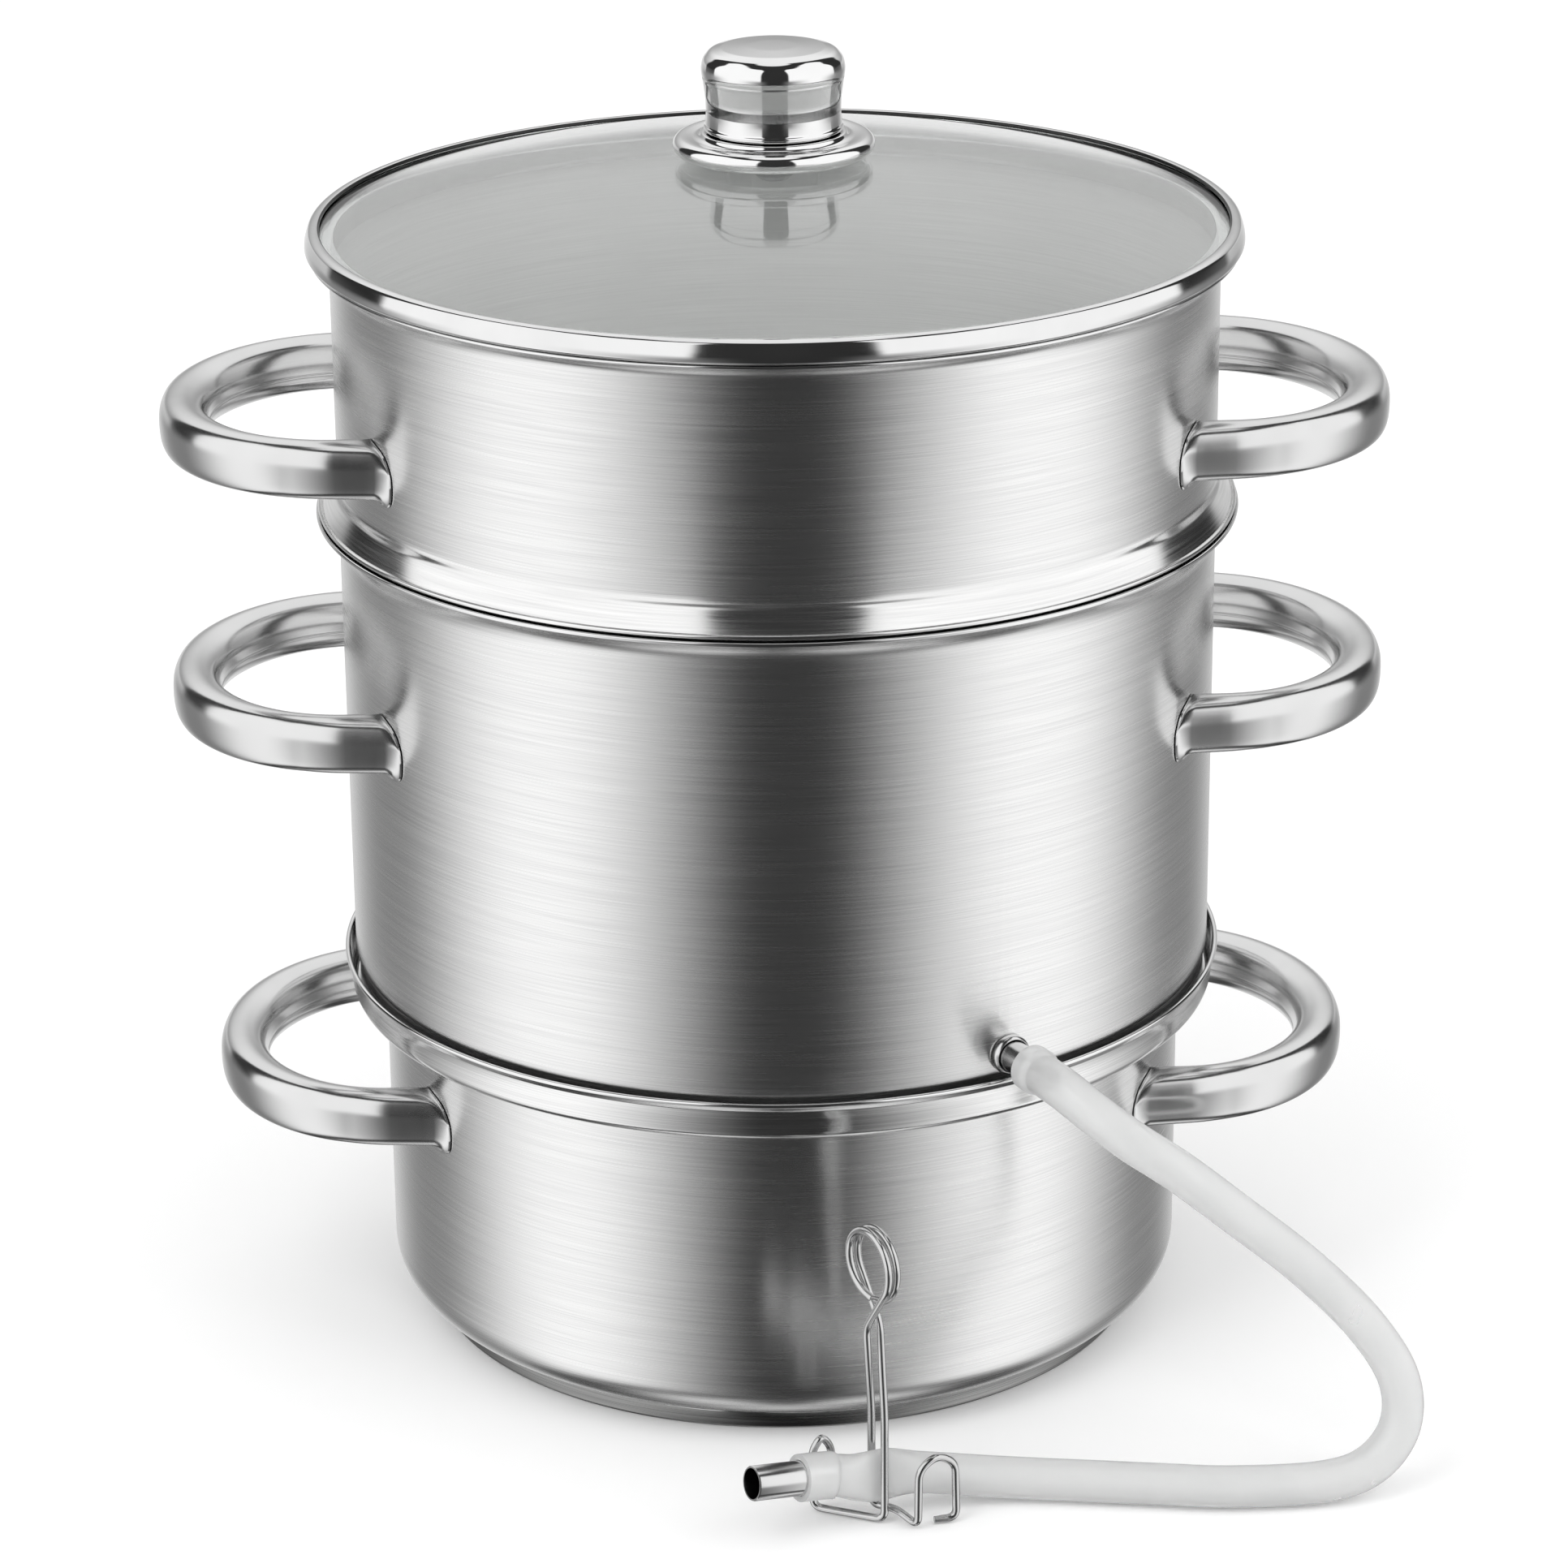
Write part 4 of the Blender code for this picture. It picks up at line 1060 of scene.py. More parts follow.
@dataclass
class JuiceKettle:
    """The juice kettle with its steam chimney and its outlet."""

    radius: float = 0.130
    wall: float = 0.0008
    floor: float = 0.1040
    chimney_hole: float = 0.036
    corner: float = 0.003
    corner_steps: int = 8
    corner_radius: float = 0.126
    taper: Run = Run(((129.0, 113.9), (130.0, 115.9), (130.0, 118.0)), 0.0010, 4)
    flare: Flare = Flare(0.130, 0.2442, 0.0062, 0.0089)
    bead: Run = Run(((136.3, 253.12), (136.6, 253.4), (136.6, 254.2), (136.2, 254.5), (135.5, 254.3)),
                    0.0002, 3)
    inner_flare: Flare = Flare(0.1292, 0.2450, 0.0058, 0.0088)
    inner_taper: Run = Run(((129.2, 116.2), (128.2, 114.2)))
    rim_zone: Zone = Zone(0.1340, 0.2528)
    handle_height: float = 0.1995
    chimney_wall: Run = Run(((42.0, 105.1), (42.0, 105.9), (36.8, 105.9), (22.2, 186.2)), 0.002)
    chimney_lip: Arc = Arc((0.0225, 0.1868), 0.0008, -40.0, 200.0)
    chimney_inside: Run = Run(((21.4, 185.6), (35.2, 105.1)))
    chimney_sides: int = 128
    outlet_azimuth_deg: float = 27.3
    outlet_height: float = 0.1218
    outlet_hole: Run = Run(((0.0, 120.0), (4.9, 120.0), (4.9, 140.0), (0.0, 140.0)))
    outlet_hole_sides: int = 32
    pipe: Run = Run(((3.8, 126.0), (5.6, 126.0), (6.0, 126.4), (6.0, 127.8), (4.6, 128.0), (4.6, 152.1),
                     (4.2, 152.5), (3.8, 152.1)))
    ferrule: Run = Run(((4.9, 131.2), (4.9, 130.2), (5.9, 130.3), (5.9, 132.0), (5.1, 132.9), (4.9, 132.6),
                        (4.9, 131.2)), 0.0004, 4)
    pipe_sides: int = 48

    def outlet_axis(self) -> Matrix:
        """The place and turn of things spun about the outlet's axis, from the pots' axis on."""
        azimuth = math.radians(self.outlet_azimuth_deg)
        return aimed(UP * self.outlet_height, Vector((math.sin(azimuth), -math.cos(azimuth), 0.0)))

    def shell_profile(self) -> list[Point]:
        """The sheet: floor with the chimney's hole, wall, and flared rim with its bead.

        Returns:
            Points of (radius, height).
        """
        middle = (self.corner_radius, self.floor + self.corner)
        outer = Arc(middle, self.corner, -90.0, 0.0, self.corner_steps)
        inner = Arc(middle, self.corner - self.wall, 0.0, -90.0, self.corner_steps)
        outside = profile(outer, self.taper, self.flare, self.bead)
        inside = self.inner_flare.points()[::-1] + profile(self.inner_taper, inner)
        return ([(self.chimney_hole, self.floor)] + outside + inside
                + [(self.chimney_hole, self.floor + self.wall)])

    def build(self, finishes: Finishes) -> None:
        """Make the kettle's pieces.

        Args:
            finishes: the juicer's finishes.
        """
        axis = self.outlet_axis()
        shell = lathe("kettle_shell", self.shell_profile(), finishes.wall)
        drill = lathe("outlet_drill", self.outlet_hole.points(), finishes.wall, self.outlet_hole_sides, axis)
        modifier = shell.modifiers.new("outlet", "BOOLEAN")
        modifier.object = drill
        modifier.solver = "EXACT"
        freeze(shell)
        bpy.data.objects.remove(drill, do_unlink=True)
        dress(shell, finishes.rim, self.rim_zone.holds)
        present(shell, Body.KETTLE, Slot.BRUSHED, "juice_kettle")
        cone = profile(self.chimney_wall, self.chimney_lip, self.chimney_inside)
        # The chimney gets the paler inside steel: painted light.
        chimney = lathe("chimney_cone", cone, finishes.inner, self.chimney_sides)
        present(chimney, Body.KETTLE, Slot.BRUSHED, "steam_chimney")
        pipe = lathe("spout_pipe", self.pipe.points(), finishes.mirror, self.pipe_sides, axis)
        present(pipe, Body.KETTLE, Slot.POLISHED, "outlet_pipe")
        ring = lathe("spout_ferrule", self.ferrule.points()[:-1], finishes.mirror, self.pipe_sides, axis)
        present(ring, Body.KETTLE, Slot.POLISHED, "outlet_ferrule")
        hang_handles("kettle", Body.KETTLE, self.radius, self.handle_height, finishes.mirror)


@dataclass
class FruitBasket:
    """The fruit basket: a perforated nest, a pressed lip on the kettle's rim and a flared top."""

    radius: float = 0.130
    wall: float = 0.0008
    floor: float = 0.1936
    corner: float = 0.008
    corner_radius: float = 0.1191
    seat: Run = Run(((128.2, 244.5), (128.7, 247.2), (129.68, 249.7), (131.5, 252.6), (133.9, 253.9),
                     (134.9, 254.25)), 0.0012, 4)
    bead: Arc = Arc((0.13525, 0.25565), 0.00075, -75.0, 128.0, 14)
    lip: Run = Run(((134.6, 256.5), (131.55, 262.5), (130.25, 263.9), (130.0, 265.6)), 0.0007, 6)
    flare: Flare = Flare(0.130, 0.3262, 0.0051, 0.0052, 12)
    edge: Arc = Arc((0.13515, 0.33195), 0.00056, -60.0, 150.0, 10)
    inner_flare: Flare = Flare(0.1292, 0.3270, 0.0053, 0.0052, 12)
    inside: Run = Run(((129.2, 300.0), (129.2, 264.2), (131.8, 255.7), (128.88, 249.7), (127.4, 243.7),
                       (126.4, 215.0)), 0.0025, 6)
    rim_zone: Zone = Zone(0.1330, 0.3300)
    lip_zone: Zone = Zone(0.1290, 0.2636, True)
    inside_top: float = 0.3268
    inside_facing: float = -0.02
    nest_wall_radius: float = 0.1272
    perforations: Perforations = field(default_factory=Perforations)
    handle_height: float = 0.2825

    def shell_profile(self) -> list[Point]:
        """The sheet, from the nest's floor to the rim and back down the inside.

        Returns:
            Points of (radius, height).
        """
        middle = (self.corner_radius, self.floor + self.corner)
        outer = Arc(middle, self.corner, -90.0, 0.0)
        inner = Arc(middle, self.corner - self.wall, 0.0, -90.0)
        outside = profile(outer, self.seat, self.bead, self.lip, self.flare, self.edge)
        inside = self.inner_flare.points()[::-1] + profile(self.inside, inner)
        return [(0.0, self.floor)] + outside + inside + [(0.0, self.floor + self.wall)]

    def looks_in(self, face: bpy.types.MeshPolygon) -> bool:
        """Whether a face under the rim looks at the axis; these faces get the painted light of the pale inside
        steel.
        """
        facing = face.center.x * face.normal.x + face.center.y * face.normal.y
        return face.center.z < self.inside_top and facing < self.inside_facing

    def build(self, finishes: Finishes) -> None:
        """Make the basket's pieces.

        Args:
            finishes: the juicer's finishes.
        """
        shell = lathe("basket_shell", self.shell_profile(), finishes.wall)
        floor_middle = self.floor + self.wall / 2.0
        self.perforations.cut(shell, floor_middle, self.nest_wall_radius, finishes.wall)
        dress(shell, finishes.rim, self.rim_zone.holds)
        dress(shell, finishes.lip, self.lip_zone.holds)
        # The insides get the paler, partly diffuse steel: painted light.
        dress(shell, finishes.inner, self.looks_in)
        present(shell, Body.BASKET, Slot.BRUSHED, "fruit_basket")
        hang_handles("basket", Body.BASKET, self.radius, self.handle_height, finishes.mirror)


# ---------------------------------------------------------------- lid


@dataclass
class GlassLid:
    """The domed glass, its steel band, and the cup and skirt of its knob."""

    edge_top: float = 0.3380
    edge_radius: float = 0.1340
    edge_bevel: Point = (0.0004, 0.0006)
    rise: float = 0.0190
    thickness: float = 0.0036
    lip_radius: float = 0.1324
    screw_hole: float = 0.0032
    dome_steps: int = 40
    band_lip: Arc = Arc((0.13335, 0.33855), 0.00092, 184.0, 96.0, 8)
    band_face: Run = Run(((134.4, 339.5), (135.7, 338.9), (136.75, 335.6), (136.9, 333.7), (136.1, 332.95)),
                         0.0012, 6)
    band_under: Run = Run(((134.2, 332.9), (128.4, 332.9), (128.4, 327.4), (127.6, 327.4), (127.6, 334.1),
                           (134.3, 334.1), (134.3, 338.3), (132.6, 338.35)), 0.0004, 3)
    # Where the painted shade on the band's lip by the glass starts.
    seam_shade_radius: float = 0.1329
    seam_shade_height: float = 0.3382
    cup_hollow: Run = Run(((0.0, 386.3), (16.0, 386.0), (19.6, 382.5), (18.5, 370.0), (19.2, 365.2)))
    cup_side: Run = Run(((20.0, 365.2), (20.35, 365.7), (20.35, 366.4), (19.85, 366.9), (19.6, 370.0),
                         (19.75, 374.5), (20.45, 379.6), (20.62, 380.55), (20.42, 380.68), (20.42, 380.88),
                         (20.7, 381.0), (20.95, 383.2), (20.4, 386.0), (18.4, 388.3), (15.2, 389.05),
                         (14.4, 389.1), (7.0, 389.5), (0.0, 389.6)), 0.0011, 6)
    skirt_under: Run = Run(((0.0, 358.6), (0.5, 358.6), (26.4, 358.6)))
    skirt_roll: Arc = Arc((0.02665, 0.36075), 0.00275, -70.0, 84.0, 16)
    skirt_valley: Run = Run(((25.2, 363.35), (23.2, 363.0), (21.9, 363.4), (21.2, 364.6), (20.6, 364.75),
                             (17.6, 364.75)), 0.0007)
    skirt_top: Run = Run(((0.0, 364.75),))
    knob_sides: int = 160

    def glass_profile(self) -> list[Point]:
        """The dome with its screw hole and its ground edge.

        Returns:
            Points of (radius, height).
        """
        upper = []
        for step in range(self.dome_steps + 1):
            radius = self.screw_hole + (self.lip_radius - self.screw_hole) * step / self.dome_steps
            upper.append((radius, self.edge_top + self.rise * (1.0 - (radius / self.lip_radius) ** 2)))
        across, down = self.edge_bevel
        outer, low = self.edge_radius, self.edge_top - self.thickness
        edge = [(outer - across, self.edge_top), (outer, self.edge_top - down), (outer, low + down),
                (outer - across, low)]
        under = [(radius, height - self.thickness) for radius, height in reversed(upper)]
        return upper + edge + under

    def in_seam_shade(self, face: bpy.types.MeshPolygon) -> bool:
        """Whether a face of the band lies in the gap between its lip and the glass, which gets painted shade.
        """
        return off_axis(face.center) < self.seam_shade_radius and face.center.z > self.seam_shade_height

    def build(self, finishes: Finishes) -> None:
        """Make the dome, its band and the knob's cup and skirt.

        Args:
            finishes: the juicer's finishes.
        """
        dome = lathe("glass_dome", self.glass_profile(), finishes.glass)
        present(dome, Body.LID, Slot.GLASS, "lid_glass")
        band = lathe("lid_ring", profile(self.band_lip, self.band_face, self.band_under), finishes.band)
        # The band's faces in the gap by the glass get the near-black steel: painted shade.
        dress(band, finishes.shade, self.in_seam_shade)
        present(band, Body.LID, Slot.POLISHED, "lid_band")
        cup = lathe("knob_cap", profile(self.cup_hollow, self.cup_side), finishes.knob, self.knob_sides)
        present(cup, Body.LID, Slot.POLISHED, "knob_cup")
        skirt = profile(self.skirt_under, self.skirt_roll, self.skirt_valley, self.skirt_top)
        collar = lathe("knob_collar", skirt, finishes.knob, self.knob_sides)
        present(collar, Body.LID, Slot.POLISHED, "knob_skirt")


# ---------------------------------------------------------------- hose


# The hose's centreline from the outlet to its free end, and the point where the clamp's jaws press it.
HOSE_ROUTE = (
    (0.0651, -0.1262, 0.1218), (0.0688, -0.1333, 0.1218), (0.0737, -0.1413, 0.1208),
    (0.0812, -0.1487, 0.1168), (0.0911, -0.1545, 0.1107), (0.1040, -0.1577, 0.1026),
    (0.1200, -0.1581, 0.0895), (0.1400, -0.1563, 0.0718), (0.1578, -0.1539, 0.0522),
    (0.1683, -0.1548, 0.0350), (0.1689, -0.1572, 0.0205), (0.1606, -0.1606, 0.0102),
    (0.1464, -0.1632, 0.0065), (0.1205, -0.1641, 0.0063), (0.0994, -0.1613, 0.0063),
    (0.0784, -0.1580, 0.0063), (0.0632, -0.1562, 0.0066), (0.0497, -0.1559, 0.0077),
    (0.0386, -0.1573, 0.0096), (0.0282, -0.1604, 0.0121), (0.0188, -0.1652, 0.0140),
    (0.0118, -0.1677, 0.0151), (0.0060, -0.1684, 0.0162), (0.0010, -0.1704, 0.0171),
    (-0.0040, -0.1729, 0.0180),
)
PINCH = HOSE_ROUTE[20]


@dataclass
class OutletHose:
    """The silicone hose, pinched by the clamp, and the nozzle in its free end."""

    radius: float = 0.0060
    bore: float = 0.0040
    pinch_half_thickness: float = 0.0016
    pinch_half_height: float = 0.0083
    pinch_wall: Point = (0.0013, 0.0016)
    pinch_length: float = 0.015
    cuff_radius: float = 0.0068
    cuff_bore: float = 0.0052
    cuff_step: float = 0.0012
    outlet_cuff: float = 0.0056
    outlet_cuff_step: float = 0.0010
    sleeve: float = 0.0105
    stations: int = 420
    sides: int = 32
    sharp_deg: float = 60.0
    nozzle_radius: float = 0.0050
    nozzle_wall: float = 0.0007
    nozzle_length: float = 0.0260
    nozzle_bevel: Point = (0.0002, 0.0003)
    nozzle_inner_bevel: Point = (0.0001, 0.0002)
    # Share of the wall, from the outside in, past which the nozzle's faces get painted shade.
    bore_shade_share: float = 0.6
    nozzle_sides: int = 64

    def ring(self, place: Vector, direction: Vector, inner: bool, run: float, left: float) -> list[Vector]:
        """One section of the hose.

        Args:
            place: the section's centre.
            direction: the hose's direction there.
            inner: whether it is the bore's ring.
            run: distance from the outlet's end.
            left: distance to the free end.

        Returns:
            The ring's points.
        """
        side = direction.cross(UP).normalized()
        top = side.cross(direction)
        reach = (place - Vector(PINCH)).length / self.pinch_length
        flat = max(0.0, 1.0 - reach) ** 2 * (1.0 + 2.0 * min(reach, 1.0))
        cuff = max(unit((self.sleeve + self.cuff_step - left) / self.cuff_step),
                   unit((self.outlet_cuff - run) / self.outlet_cuff_step))
        cuff = cuff * cuff * (3.0 - 2.0 * cuff)
        thick, tall = self.pinch_half_thickness, self.pinch_half_height
        if inner:
            radius = self.bore + (self.cuff_bore - self.bore) * cuff
            thick, tall = thick - self.pinch_wall[0], tall - self.pinch_wall[1]
        else:
            radius = self.radius + (self.cuff_radius - self.radius) * cuff
        wide = radius + (thick - radius) * flat
        high = radius + (tall - radius) * flat
        turns = [FULL_TURN * (index + 0.5) / self.sides for index in range(self.sides)]
        return [place + side * wide * math.cos(a) + top * high * math.sin(a) for a in turns]

    def nozzle(self, end: Vector, way: Vector, finishes: Finishes) -> bpy.types.Object:
        """Make the nozzle, pushed into the hose's free end.

        Args:
            end: the hose's free end.
            way: the hose's direction there.
            finishes: the juicer's finishes.

        Returns:
            The nozzle, its bore darkened with painted shade.
        """
        axis = aimed(end, way)
        outside, inside = self.nozzle_radius, self.nozzle_radius - self.nozzle_wall
        low, high = -self.sleeve, self.nozzle_length - self.sleeve
        (across, down), (inner_across, inner_down) = self.nozzle_bevel, self.nozzle_inner_bevel
        outline = [(inside, low), (outside, low), (outside, high - down), (outside - across, high),
                   (inside + inner_across, high), (inside, high - inner_down)]
        piece = lathe("nozzle_tube", outline, finishes.mirror, self.nozzle_sides, axis)
        # Faces deep in the bore get the near-black steel: painted shade.
        back, limit = axis.inverted(), outside - self.bore_shade_share * self.nozzle_wall
        dress(piece, finishes.shade, lambda face: off_axis(back @ face.center) < limit)
        return present(piece, Body.NOZZLE, Slot.POLISHED, "filling_nozzle")

    def build(self, finishes: Finishes, clamp: Sequence[bpy.types.Object]) -> None:
        """Args:
            finishes: the juicer's finishes.
            clamp: the clamp's pieces, which sit on the hose; not used.
        """
        route = smooth_route(HOSE_ROUTE, self.stations)
        length = sum((b - a).length for a, b in zip(route, route[1:]))
        step = length / (self.stations - 1)
        outer, inner = [], []
        for index, (place, way) in enumerate(zip(route, directions(route))):
            run, left = index * step, length - index * step
            outer.append(self.ring(place, way, False, run, left))
            inner.append(self.ring(place, way, True, run, left))
        rings = outer + inner[::-1]
        hose = skin("outlet_hose", rings, finishes.silicone, self.sharp_deg, loop=True)
        present(hose, Body.HOSE, Slot.SILICONE, "hose")
        nozzle = self.nozzle(route[-1], (route[-1] - route[-2]).normalized(), finishes)


@dataclass
class PinchClamp:
    """The wire pinch clamp: two legs that meet at the foot of the coil."""

    wire_radius: float = 0.00115
    wire_end: float = 0.86
    coil_radius: float = 0.0104
    coil_pitch: float = 0.0028
    coil_centre: Spot = (0.0175, -0.1650, 0.0800)
    coil_steps: int = 72
    parting: float = 0.0003
    across_deg: float = -58.0
    crossing_drop: float = 0.0186
    jaw_offset: float = 0.0032
    jaw_top: float = 0.0340
    bend_radius: float = 0.0032
    bend_steps: int = 8
    sides: int = 16
    sharp_deg: float = 50.0
    front_foot: Sequence[Spot] = (
        (0.0006, -0.1590, 0.0012), (0.0004, -0.1590, 0.0190), (0.0031, -0.1578, 0.0232),
        (0.0059, -0.1564, 0.0190), (0.0061, -0.1563, 0.0024),
    )
    back_foot: Sequence[Spot] = (
        (0.0236, -0.1652, 0.0034), (0.0297, -0.1722, 0.0012), (0.0299, -0.1724, 0.0190),
        (0.0353, -0.1702, 0.0226), (0.0405, -0.1682, 0.0190), (0.0409, -0.1680, 0.0014),
        (0.0345, -0.1692, 0.0014),
    )

    def leg_points(self, sign: float, foot: Sequence[Spot]) -> list[Vector]:
        """The wire's line, from the coil's foot round and down to the finger loop's end.

        Args:
            sign: 1 for the front leg and -1 for the back one.
            foot: corners of the leg's low end.

        Returns:
            The line's points.
        """
        turn = math.radians(self.across_deg)
        across = Vector((math.cos(turn), math.sin(turn), 0.0))
        axis = Vector((-across.y, across.x, 0.0))
        centre = Vector(self.coil_centre)
        leave = math.degrees(math.acos(self.coil_radius / self.crossing_drop))
        wound = 360.0 - leave
        part = math.degrees(self.parting / self.coil_radius)
        rise = sign * self.coil_pitch * wound / 360.0
        coil = []
        for step in range(self.coil_steps + 1):
            share = step / self.coil_steps
            angle = math.radians(-90.0 - sign * (leave + (wound - part) * share))
            coil.append(centre + across * self.coil_radius * math.cos(angle)
                        + UP * self.coil_radius * math.sin(angle) + axis * rise * (1.0 - share))
        crossing = centre - UP * self.crossing_drop + axis * rise
        jaw = Vector(PINCH) + across * sign * self.jaw_offset
        leg = [coil[0], crossing, (jaw.x, jaw.y, self.jaw_top), (jaw.x, jaw.y, foot[0][2]), *foot]
        rounded = [Vector(point) for point in eased(leg, self.bend_radius, self.bend_steps)]
        return coil[::-1] + rounded[1:]

    def wire(self, name: str, points: Sequence[Vector], material: bpy.types.Material) -> bpy.types.Object:
        """A round wire along points, with slightly rounded ends.

        Args:
            name: the piece's name.
            points: the wire's line.
            material: its finish.

        Returns:
            The object.
        """
        ways = directions(points)
        side = ways[0].orthogonal().normalized()
        turns = [FULL_TURN * s / self.sides for s in range(self.sides)]
        rings = []
        for index, (place, way) in enumerate(zip(points, ways)):
            side = (side - way * side.dot(way)).normalized()
            other = way.cross(side)
            radius = self.wire_radius * (self.wire_end if index in (0, len(points) - 1) else 1.0)
            rings.append([place + side * radius * math.cos(a) + other * radius * math.sin(a) for a in turns])
        return skin(name, rings, material, self.sharp_deg)

    def build(self, finishes: Finishes) -> list[bpy.types.Object]:
        """Make both legs.

        Args:
            finishes: the juicer's finishes.

        Returns:
            The legs' objects.
        """
        front = self.wire("front_clamp_wire", self.leg_points(1.0, self.front_foot), finishes.wire)
        back = self.wire("back_clamp_wire", self.leg_points(-1.0, self.back_foot), finishes.wire)
        return [present(front, Body.CLAMP_FRONT, Slot.POLISHED, "clamp_front_leg"),
                present(back, Body.CLAMP_BACK, Slot.POLISHED, "clamp_back_leg")]


# ---------------------------------------------------------------- studio


@dataclass(frozen=True)
class SoftLamp:
    """A square lamp aimed at the pots, unseen in the metal."""

    name: str
    place: Spot
    power: float
    size: float = 1.2
    aim: Spot = (0.0, 0.0, 0.15)

    def build(self) -> None:
        """Make the lamp."""
        data = bpy.data.lights.new(self.name, "AREA")
        data.size = self.size
        data.energy = self.power
        lamp = put_in_scene(self.name, data)
        lamp.location = self.place
        lamp.rotation_mode = "QUATERNION"
        lamp.rotation_quaternion = (Vector(self.aim) - Vector(self.place)).to_track_quat("-Z", "Y")
        lamp.visible_glossy = False


@dataclass
class Studio:
    """The camera at the photograph's angle, the pale floor, and soft light.

    Angles of the lights that the metal mirrors are in degrees, round from the front or above the horizon.
    A pair of them is where a change starts and where it ends.
    """

    eye: Spot = (-0.0638, -1.4603, 0.7146)
    turn_deg: float = 2.5
    pan_deg: float = 0.05
    pitch_deg: float = 20.71
    roll_deg: float = -0.53
    focal_px: float = 6342.0
    image_px: float = 1932.0
    sensor: float = 36.0
    clip_end: float = 50.0
    window_middle: float = 66.0
    window_half: float = 44.0
    window_height: Point = (-50.0, 60.0)
    window_corner: float = 12.0
    window_blur: float = 1.5
    window_light: float = 1.14
    gap_light: float = 0.03
    gap_fade: Point = (8.0, 64.0)
    side_light: float = 0.26
    side_fade: Point = (74.0, 124.0)
    back_light: float = 0.85
    back_fade: Point = (134.0, 176.0)
    backdrop_edge: Point = (135.0, 140.0)
    backdrop_light: float = 0.40
    backdrop_rise: Point = (3.0, 34.0)
    haze_fade: Point = (-4.0, 4.0)
    horizon_fade: Point = (-13.0, 4.0)
    ceiling_edge: Point = (73.0, 78.0)
    ceiling_light: float = 1.0
    ground_edge: Point = (-56.0, -50.0)
    ground_share: float = 0.85
    ground_least: float = 0.06
    ground_shade: float = 0.05
    shade_edge: Point = (-74.0, -62.0)
    floor_half: float = 12.0
    floor_colour: float = 0.95
    floor_roughness: float = 0.9
    floor_lift: float = 0.08
    lamps: Sequence[SoftLamp] = (SoftLamp("key_lamp", (-1.2, -1.2, 1.9), 11.0),
                                 SoftLamp("fill_lamp", (1.5, -0.9, 1.5), 6.0))

    def camera(self) -> None:
        """Place the camera."""
        yaw, pitch, roll = (math.radians(a) for a in (self.pan_deg, self.pitch_deg, self.roll_deg))
        forward = Vector((math.sin(yaw) * math.cos(pitch), math.cos(yaw) * math.cos(pitch), -math.sin(pitch)))
        right = Vector((math.cos(yaw), -math.sin(yaw), 0.0))
        up = right.cross(forward)
        tilted = right * math.cos(roll) + up * math.sin(roll)
        upright = up * math.cos(roll) - right * math.sin(roll)
        cos, sin = math.cos(math.radians(self.turn_deg)), math.sin(math.radians(self.turn_deg))
        spin = Matrix(((cos, sin, 0.0), (-sin, cos, 0.0), (0.0, 0.0, 1.0)))
        columns = [spin @ tilted, spin @ upright, spin @ -forward]
        data = bpy.data.cameras.new("photo_camera")
        data.sensor_width = self.sensor
        data.lens = self.focal_px / self.image_px * self.sensor
        data.clip_end = self.clip_end
        camera = put_in_scene("photo_camera", data)
        camera.matrix_world = Matrix.Translation(self.eye) @ Matrix(columns).transposed().to_4x4()
        bpy.context.scene.camera = camera

    def reflections(self, sheet: NodeSheet) -> bpy.types.NodeSocket:
        """Brightness of what metal and glass reflect, by direction.

        Two tall softboxes stand in front, left and right, with dark gaps between and beside them. A pale
        backdrop closes the back, and a soft ceiling lies overhead.

        Args:
            sheet: the world's node sheet.

        Returns:
            The brightness.
        """
        way = sheet.add("ShaderNodeTexCoord").outputs["Generated"]
        parts = sheet.add("ShaderNodeSeparateXYZ", {0: way}).outputs
        forward = sheet.math("MULTIPLY", parts[1], -1.0)
        turn = sheet.math("ABSOLUTE", sheet.math("ARCTAN2", parts[0], forward))
        around = sheet.math("MULTIPLY", turn, 180.0 / math.pi)
        lift = sheet.math("MULTIPLY", sheet.math("ARCSINE", parts[2]), 180.0 / math.pi)

        low = sheet.blend(sheet.step(around, *self.side_fade), self.window_light, self.side_light)
        low = sheet.blend(sheet.step(around, *self.gap_fade), self.gap_light, low)
        low = sheet.blend(sheet.step(around, *self.back_fade), low, self.back_light)

        windows = sheet.blend(self.window(sheet, around, lift), self.gap_light, self.window_light)
        rise = sheet.step(lift, *self.backdrop_rise, self.backdrop_light, 1.0)
        haze = sheet.step(lift, *self.haze_fade, self.back_light, self.backdrop_light)
        behind = sheet.step(around, *self.backdrop_edge)
        high = sheet.blend(behind, windows, sheet.math("MAXIMUM", rise, haze))

        level = sheet.blend(sheet.step(lift, *self.horizon_fade), low, high)
        level = sheet.blend(sheet.step(lift, *self.ceiling_edge), level, self.ceiling_light)
        pale = sheet.math("MAXIMUM", sheet.math("MULTIPLY", low, self.ground_share), self.ground_least)
        ground = sheet.blend(sheet.step(lift, *self.shade_edge, 1.0, 0.0), self.ground_shade, pale)
        return sheet.blend(sheet.step(lift, *self.ground_edge, 1.0, 0.0), level, ground)

    def window(self, sheet: NodeSheet, around: bpy.types.NodeSocket,
               lift: bpy.types.NodeSocket) -> bpy.types.NodeSocket:
        """Where a softbox with rounded corners is: 1 inside it and 0 outside.

        Args:
            sheet: the world's node sheet.
            around: the angle round from the front, in degrees.
            lift: the angle above the horizon, in degrees.

        Returns:
            The mask.
        """
        low, high = self.window_height
        squares = []
        for angle, middle, half in ((around, self.window_middle, self.window_half),
                                    (lift, 0.5 * (low + high), 0.5 * (high - low))):
            off = sheet.math("ABSOLUTE", sheet.math("SUBTRACT", angle, middle))
            past = sheet.math("MAXIMUM", sheet.math("SUBTRACT", off, half - self.window_corner), 0.0)
            squares.append(sheet.math("MULTIPLY", past, past))
        past = sheet.math("SQRT", sheet.math("ADD", *squares))
        edge = (self.window_corner - self.window_blur, self.window_corner + self.window_blur)
        return sheet.step(past, *edge, 1.0, 0.0)

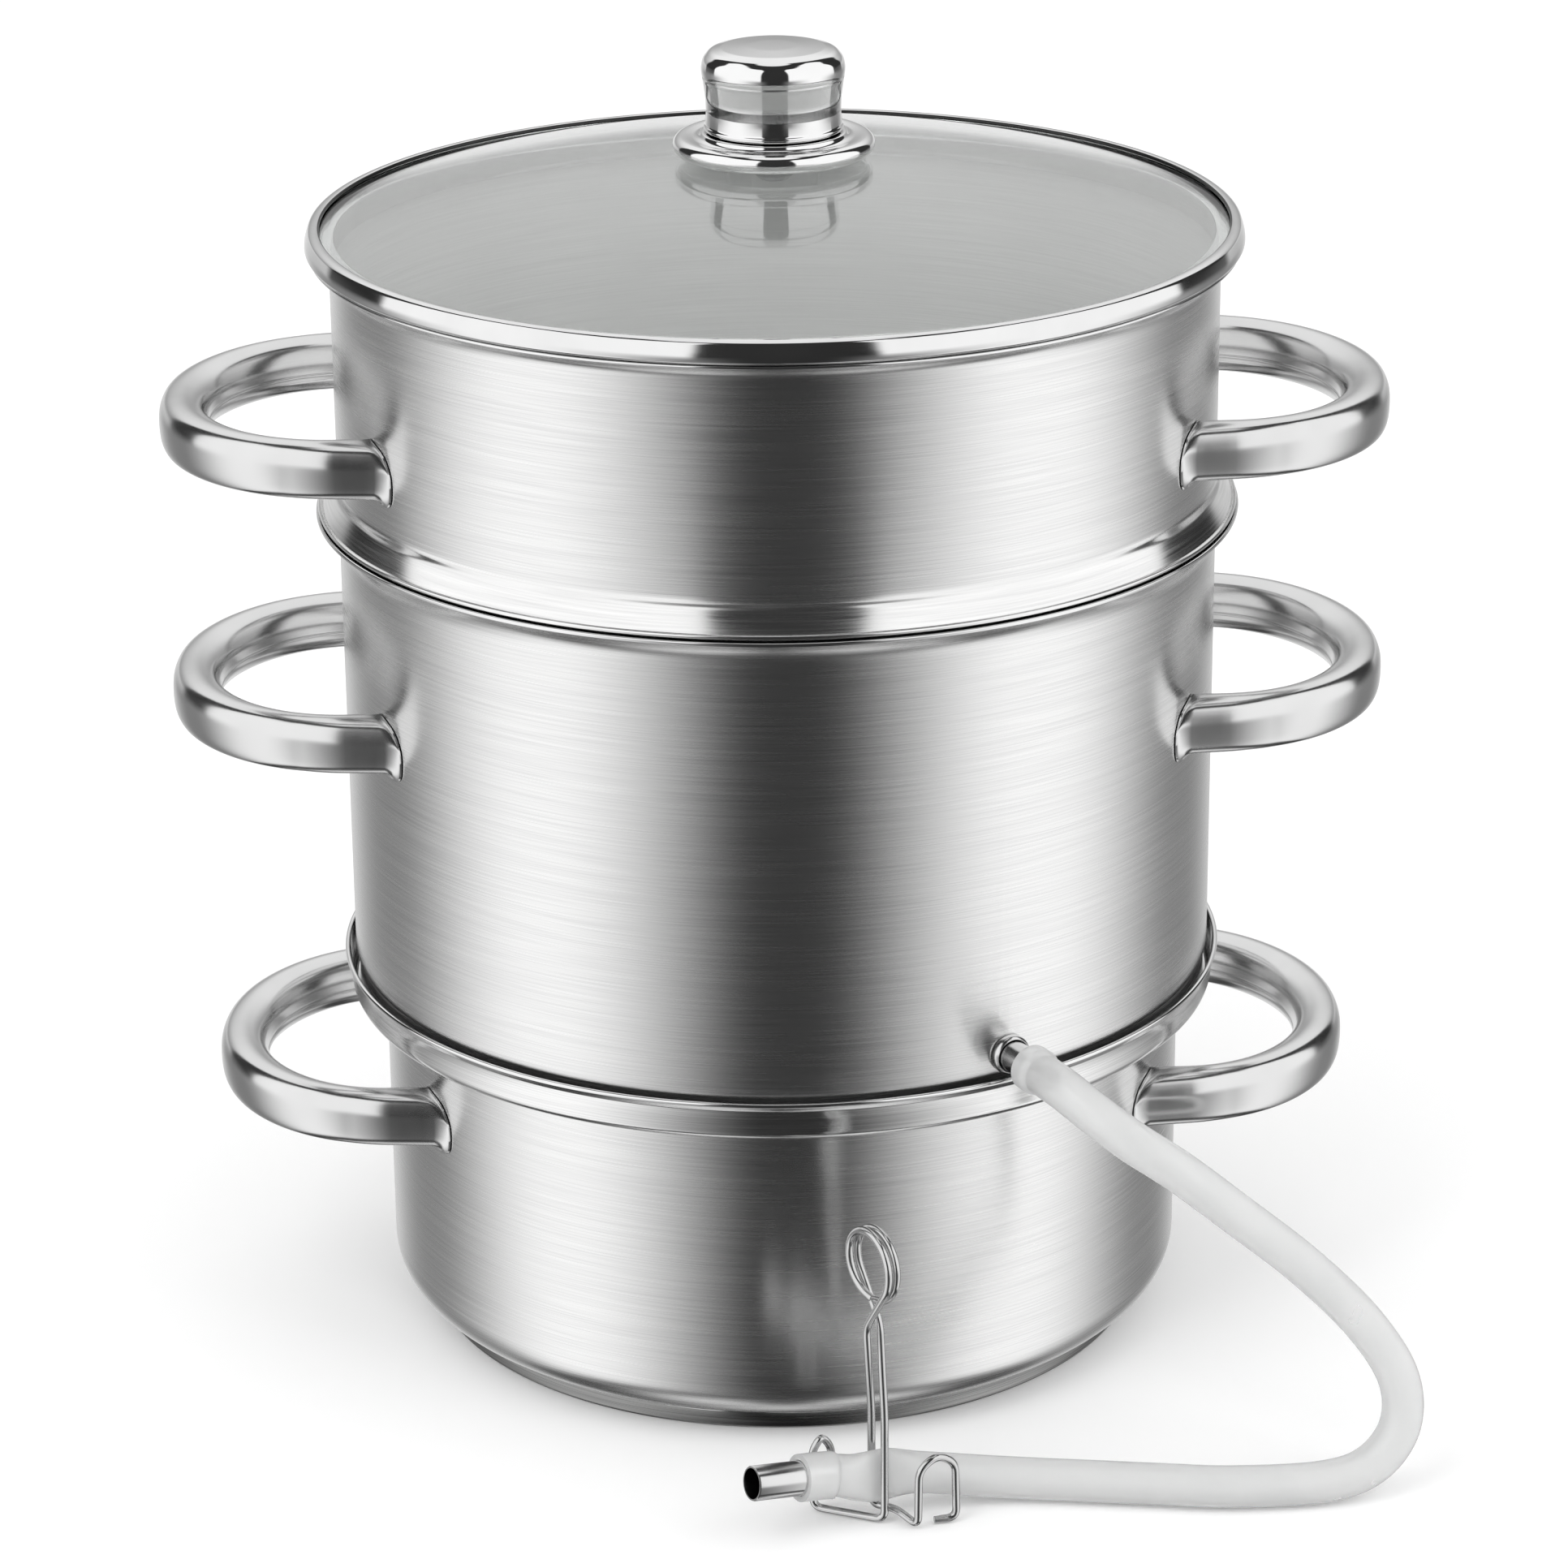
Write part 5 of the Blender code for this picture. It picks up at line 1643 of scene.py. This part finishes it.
    def world(self) -> None:
        """White behind the object, soft even light on it, and the studio's softboxes in its reflections."""
        world = bpy.data.worlds.new("studio")
        bpy.context.scene.world = world
        world.use_nodes = True
        world.node_tree.nodes.clear()
        sheet = NodeSheet(world.node_tree)
        white = {"Color": (1.0, 1.0, 1.0, 1.0), "Strength": 1.0}
        path = sheet.add("ShaderNodeLightPath").outputs
        cards = sheet.add("ShaderNodeBackground", {**white, "Strength": self.reflections(sheet)}).outputs[0]
        light = sheet.add("ShaderNodeBackground", white).outputs[0]
        seen = sheet.add("ShaderNodeBackground", white).outputs[0]
        direct = sheet.math("MAXIMUM", path["Is Camera Ray"], path["Is Transmission Ray"])
        lit = sheet.add("ShaderNodeMixShader", {0: path["Is Glossy Ray"], 1: light, 2: cards}).outputs[0]
        both = sheet.add("ShaderNodeMixShader", {0: direct, 1: lit, 2: seen}).outputs[0]
        sheet.add("ShaderNodeOutputWorld", {"Surface": both})

    def floor(self) -> None:
        """A pale floor that holds the object's shadow and stays out of the metal's reflections."""
        sheet = ShaderSheet("pale_floor")
        seen = sheet.add("ShaderNodeLightPath").outputs["Is Camera Ray"]
        sheet.set(sheet.shader, {
            "Base Color": (*[self.floor_colour] * 3, 1.0),
            "Roughness": self.floor_roughness,
            "Specular IOR Level": 0.0,
            "Emission Color": (1.0, 1.0, 1.0, 1.0),
            "Emission Strength": sheet.math("MULTIPLY", seen, self.floor_lift),
        })
        far = self.floor_half
        corners = [(-far, -far, 0.0), (far, -far, 0.0), (far, far, 0.0), (-far, far, 0.0)]
        floor = object_from("floor", corners, [(0, 1, 2, 3)], sheet.material)
        floor.visible_glossy = False

    def build(self) -> None:
        """Set up the whole studio."""
        bpy.context.scene.view_settings.view_transform = "Standard"
        self.camera()
        self.world()
        self.floor()
        for lamp in self.lamps:
            lamp.build()


def dress_kept_nodes(frame: dict, finishes: Finishes) -> None:
    """Give the CAD nodes that stay as they are their finishes.

    Args:
        finishes: the juicer's finishes.
    """
    kept = {"base_core": finishes.aluminium, "knob_seal": finishes.seal, "knob_washer": finishes.seal,
            "knob_screw": finishes.mirror}
    for name, material in kept.items():
        data = frame["nodes"][name].data
        data.materials.clear()
        data.materials.append(material)
        LOG.info("%s keeps its solid's shape", name)


def main() -> None:
    """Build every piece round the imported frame."""
    logging.basicConfig(level=logging.INFO, format="%(message)s")
    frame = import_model()
    Studio().build()
    finishes = Finishes.make()
    OutletHose().build(finishes, PinchClamp().build(finishes))
    WaterPan().build(finishes)
    JuiceKettle().build(finishes)
    FruitBasket().build(finishes)
    GlassLid().build(finishes)
    dress_kept_nodes(frame, finishes)


if __name__ == "__main__":
    main()
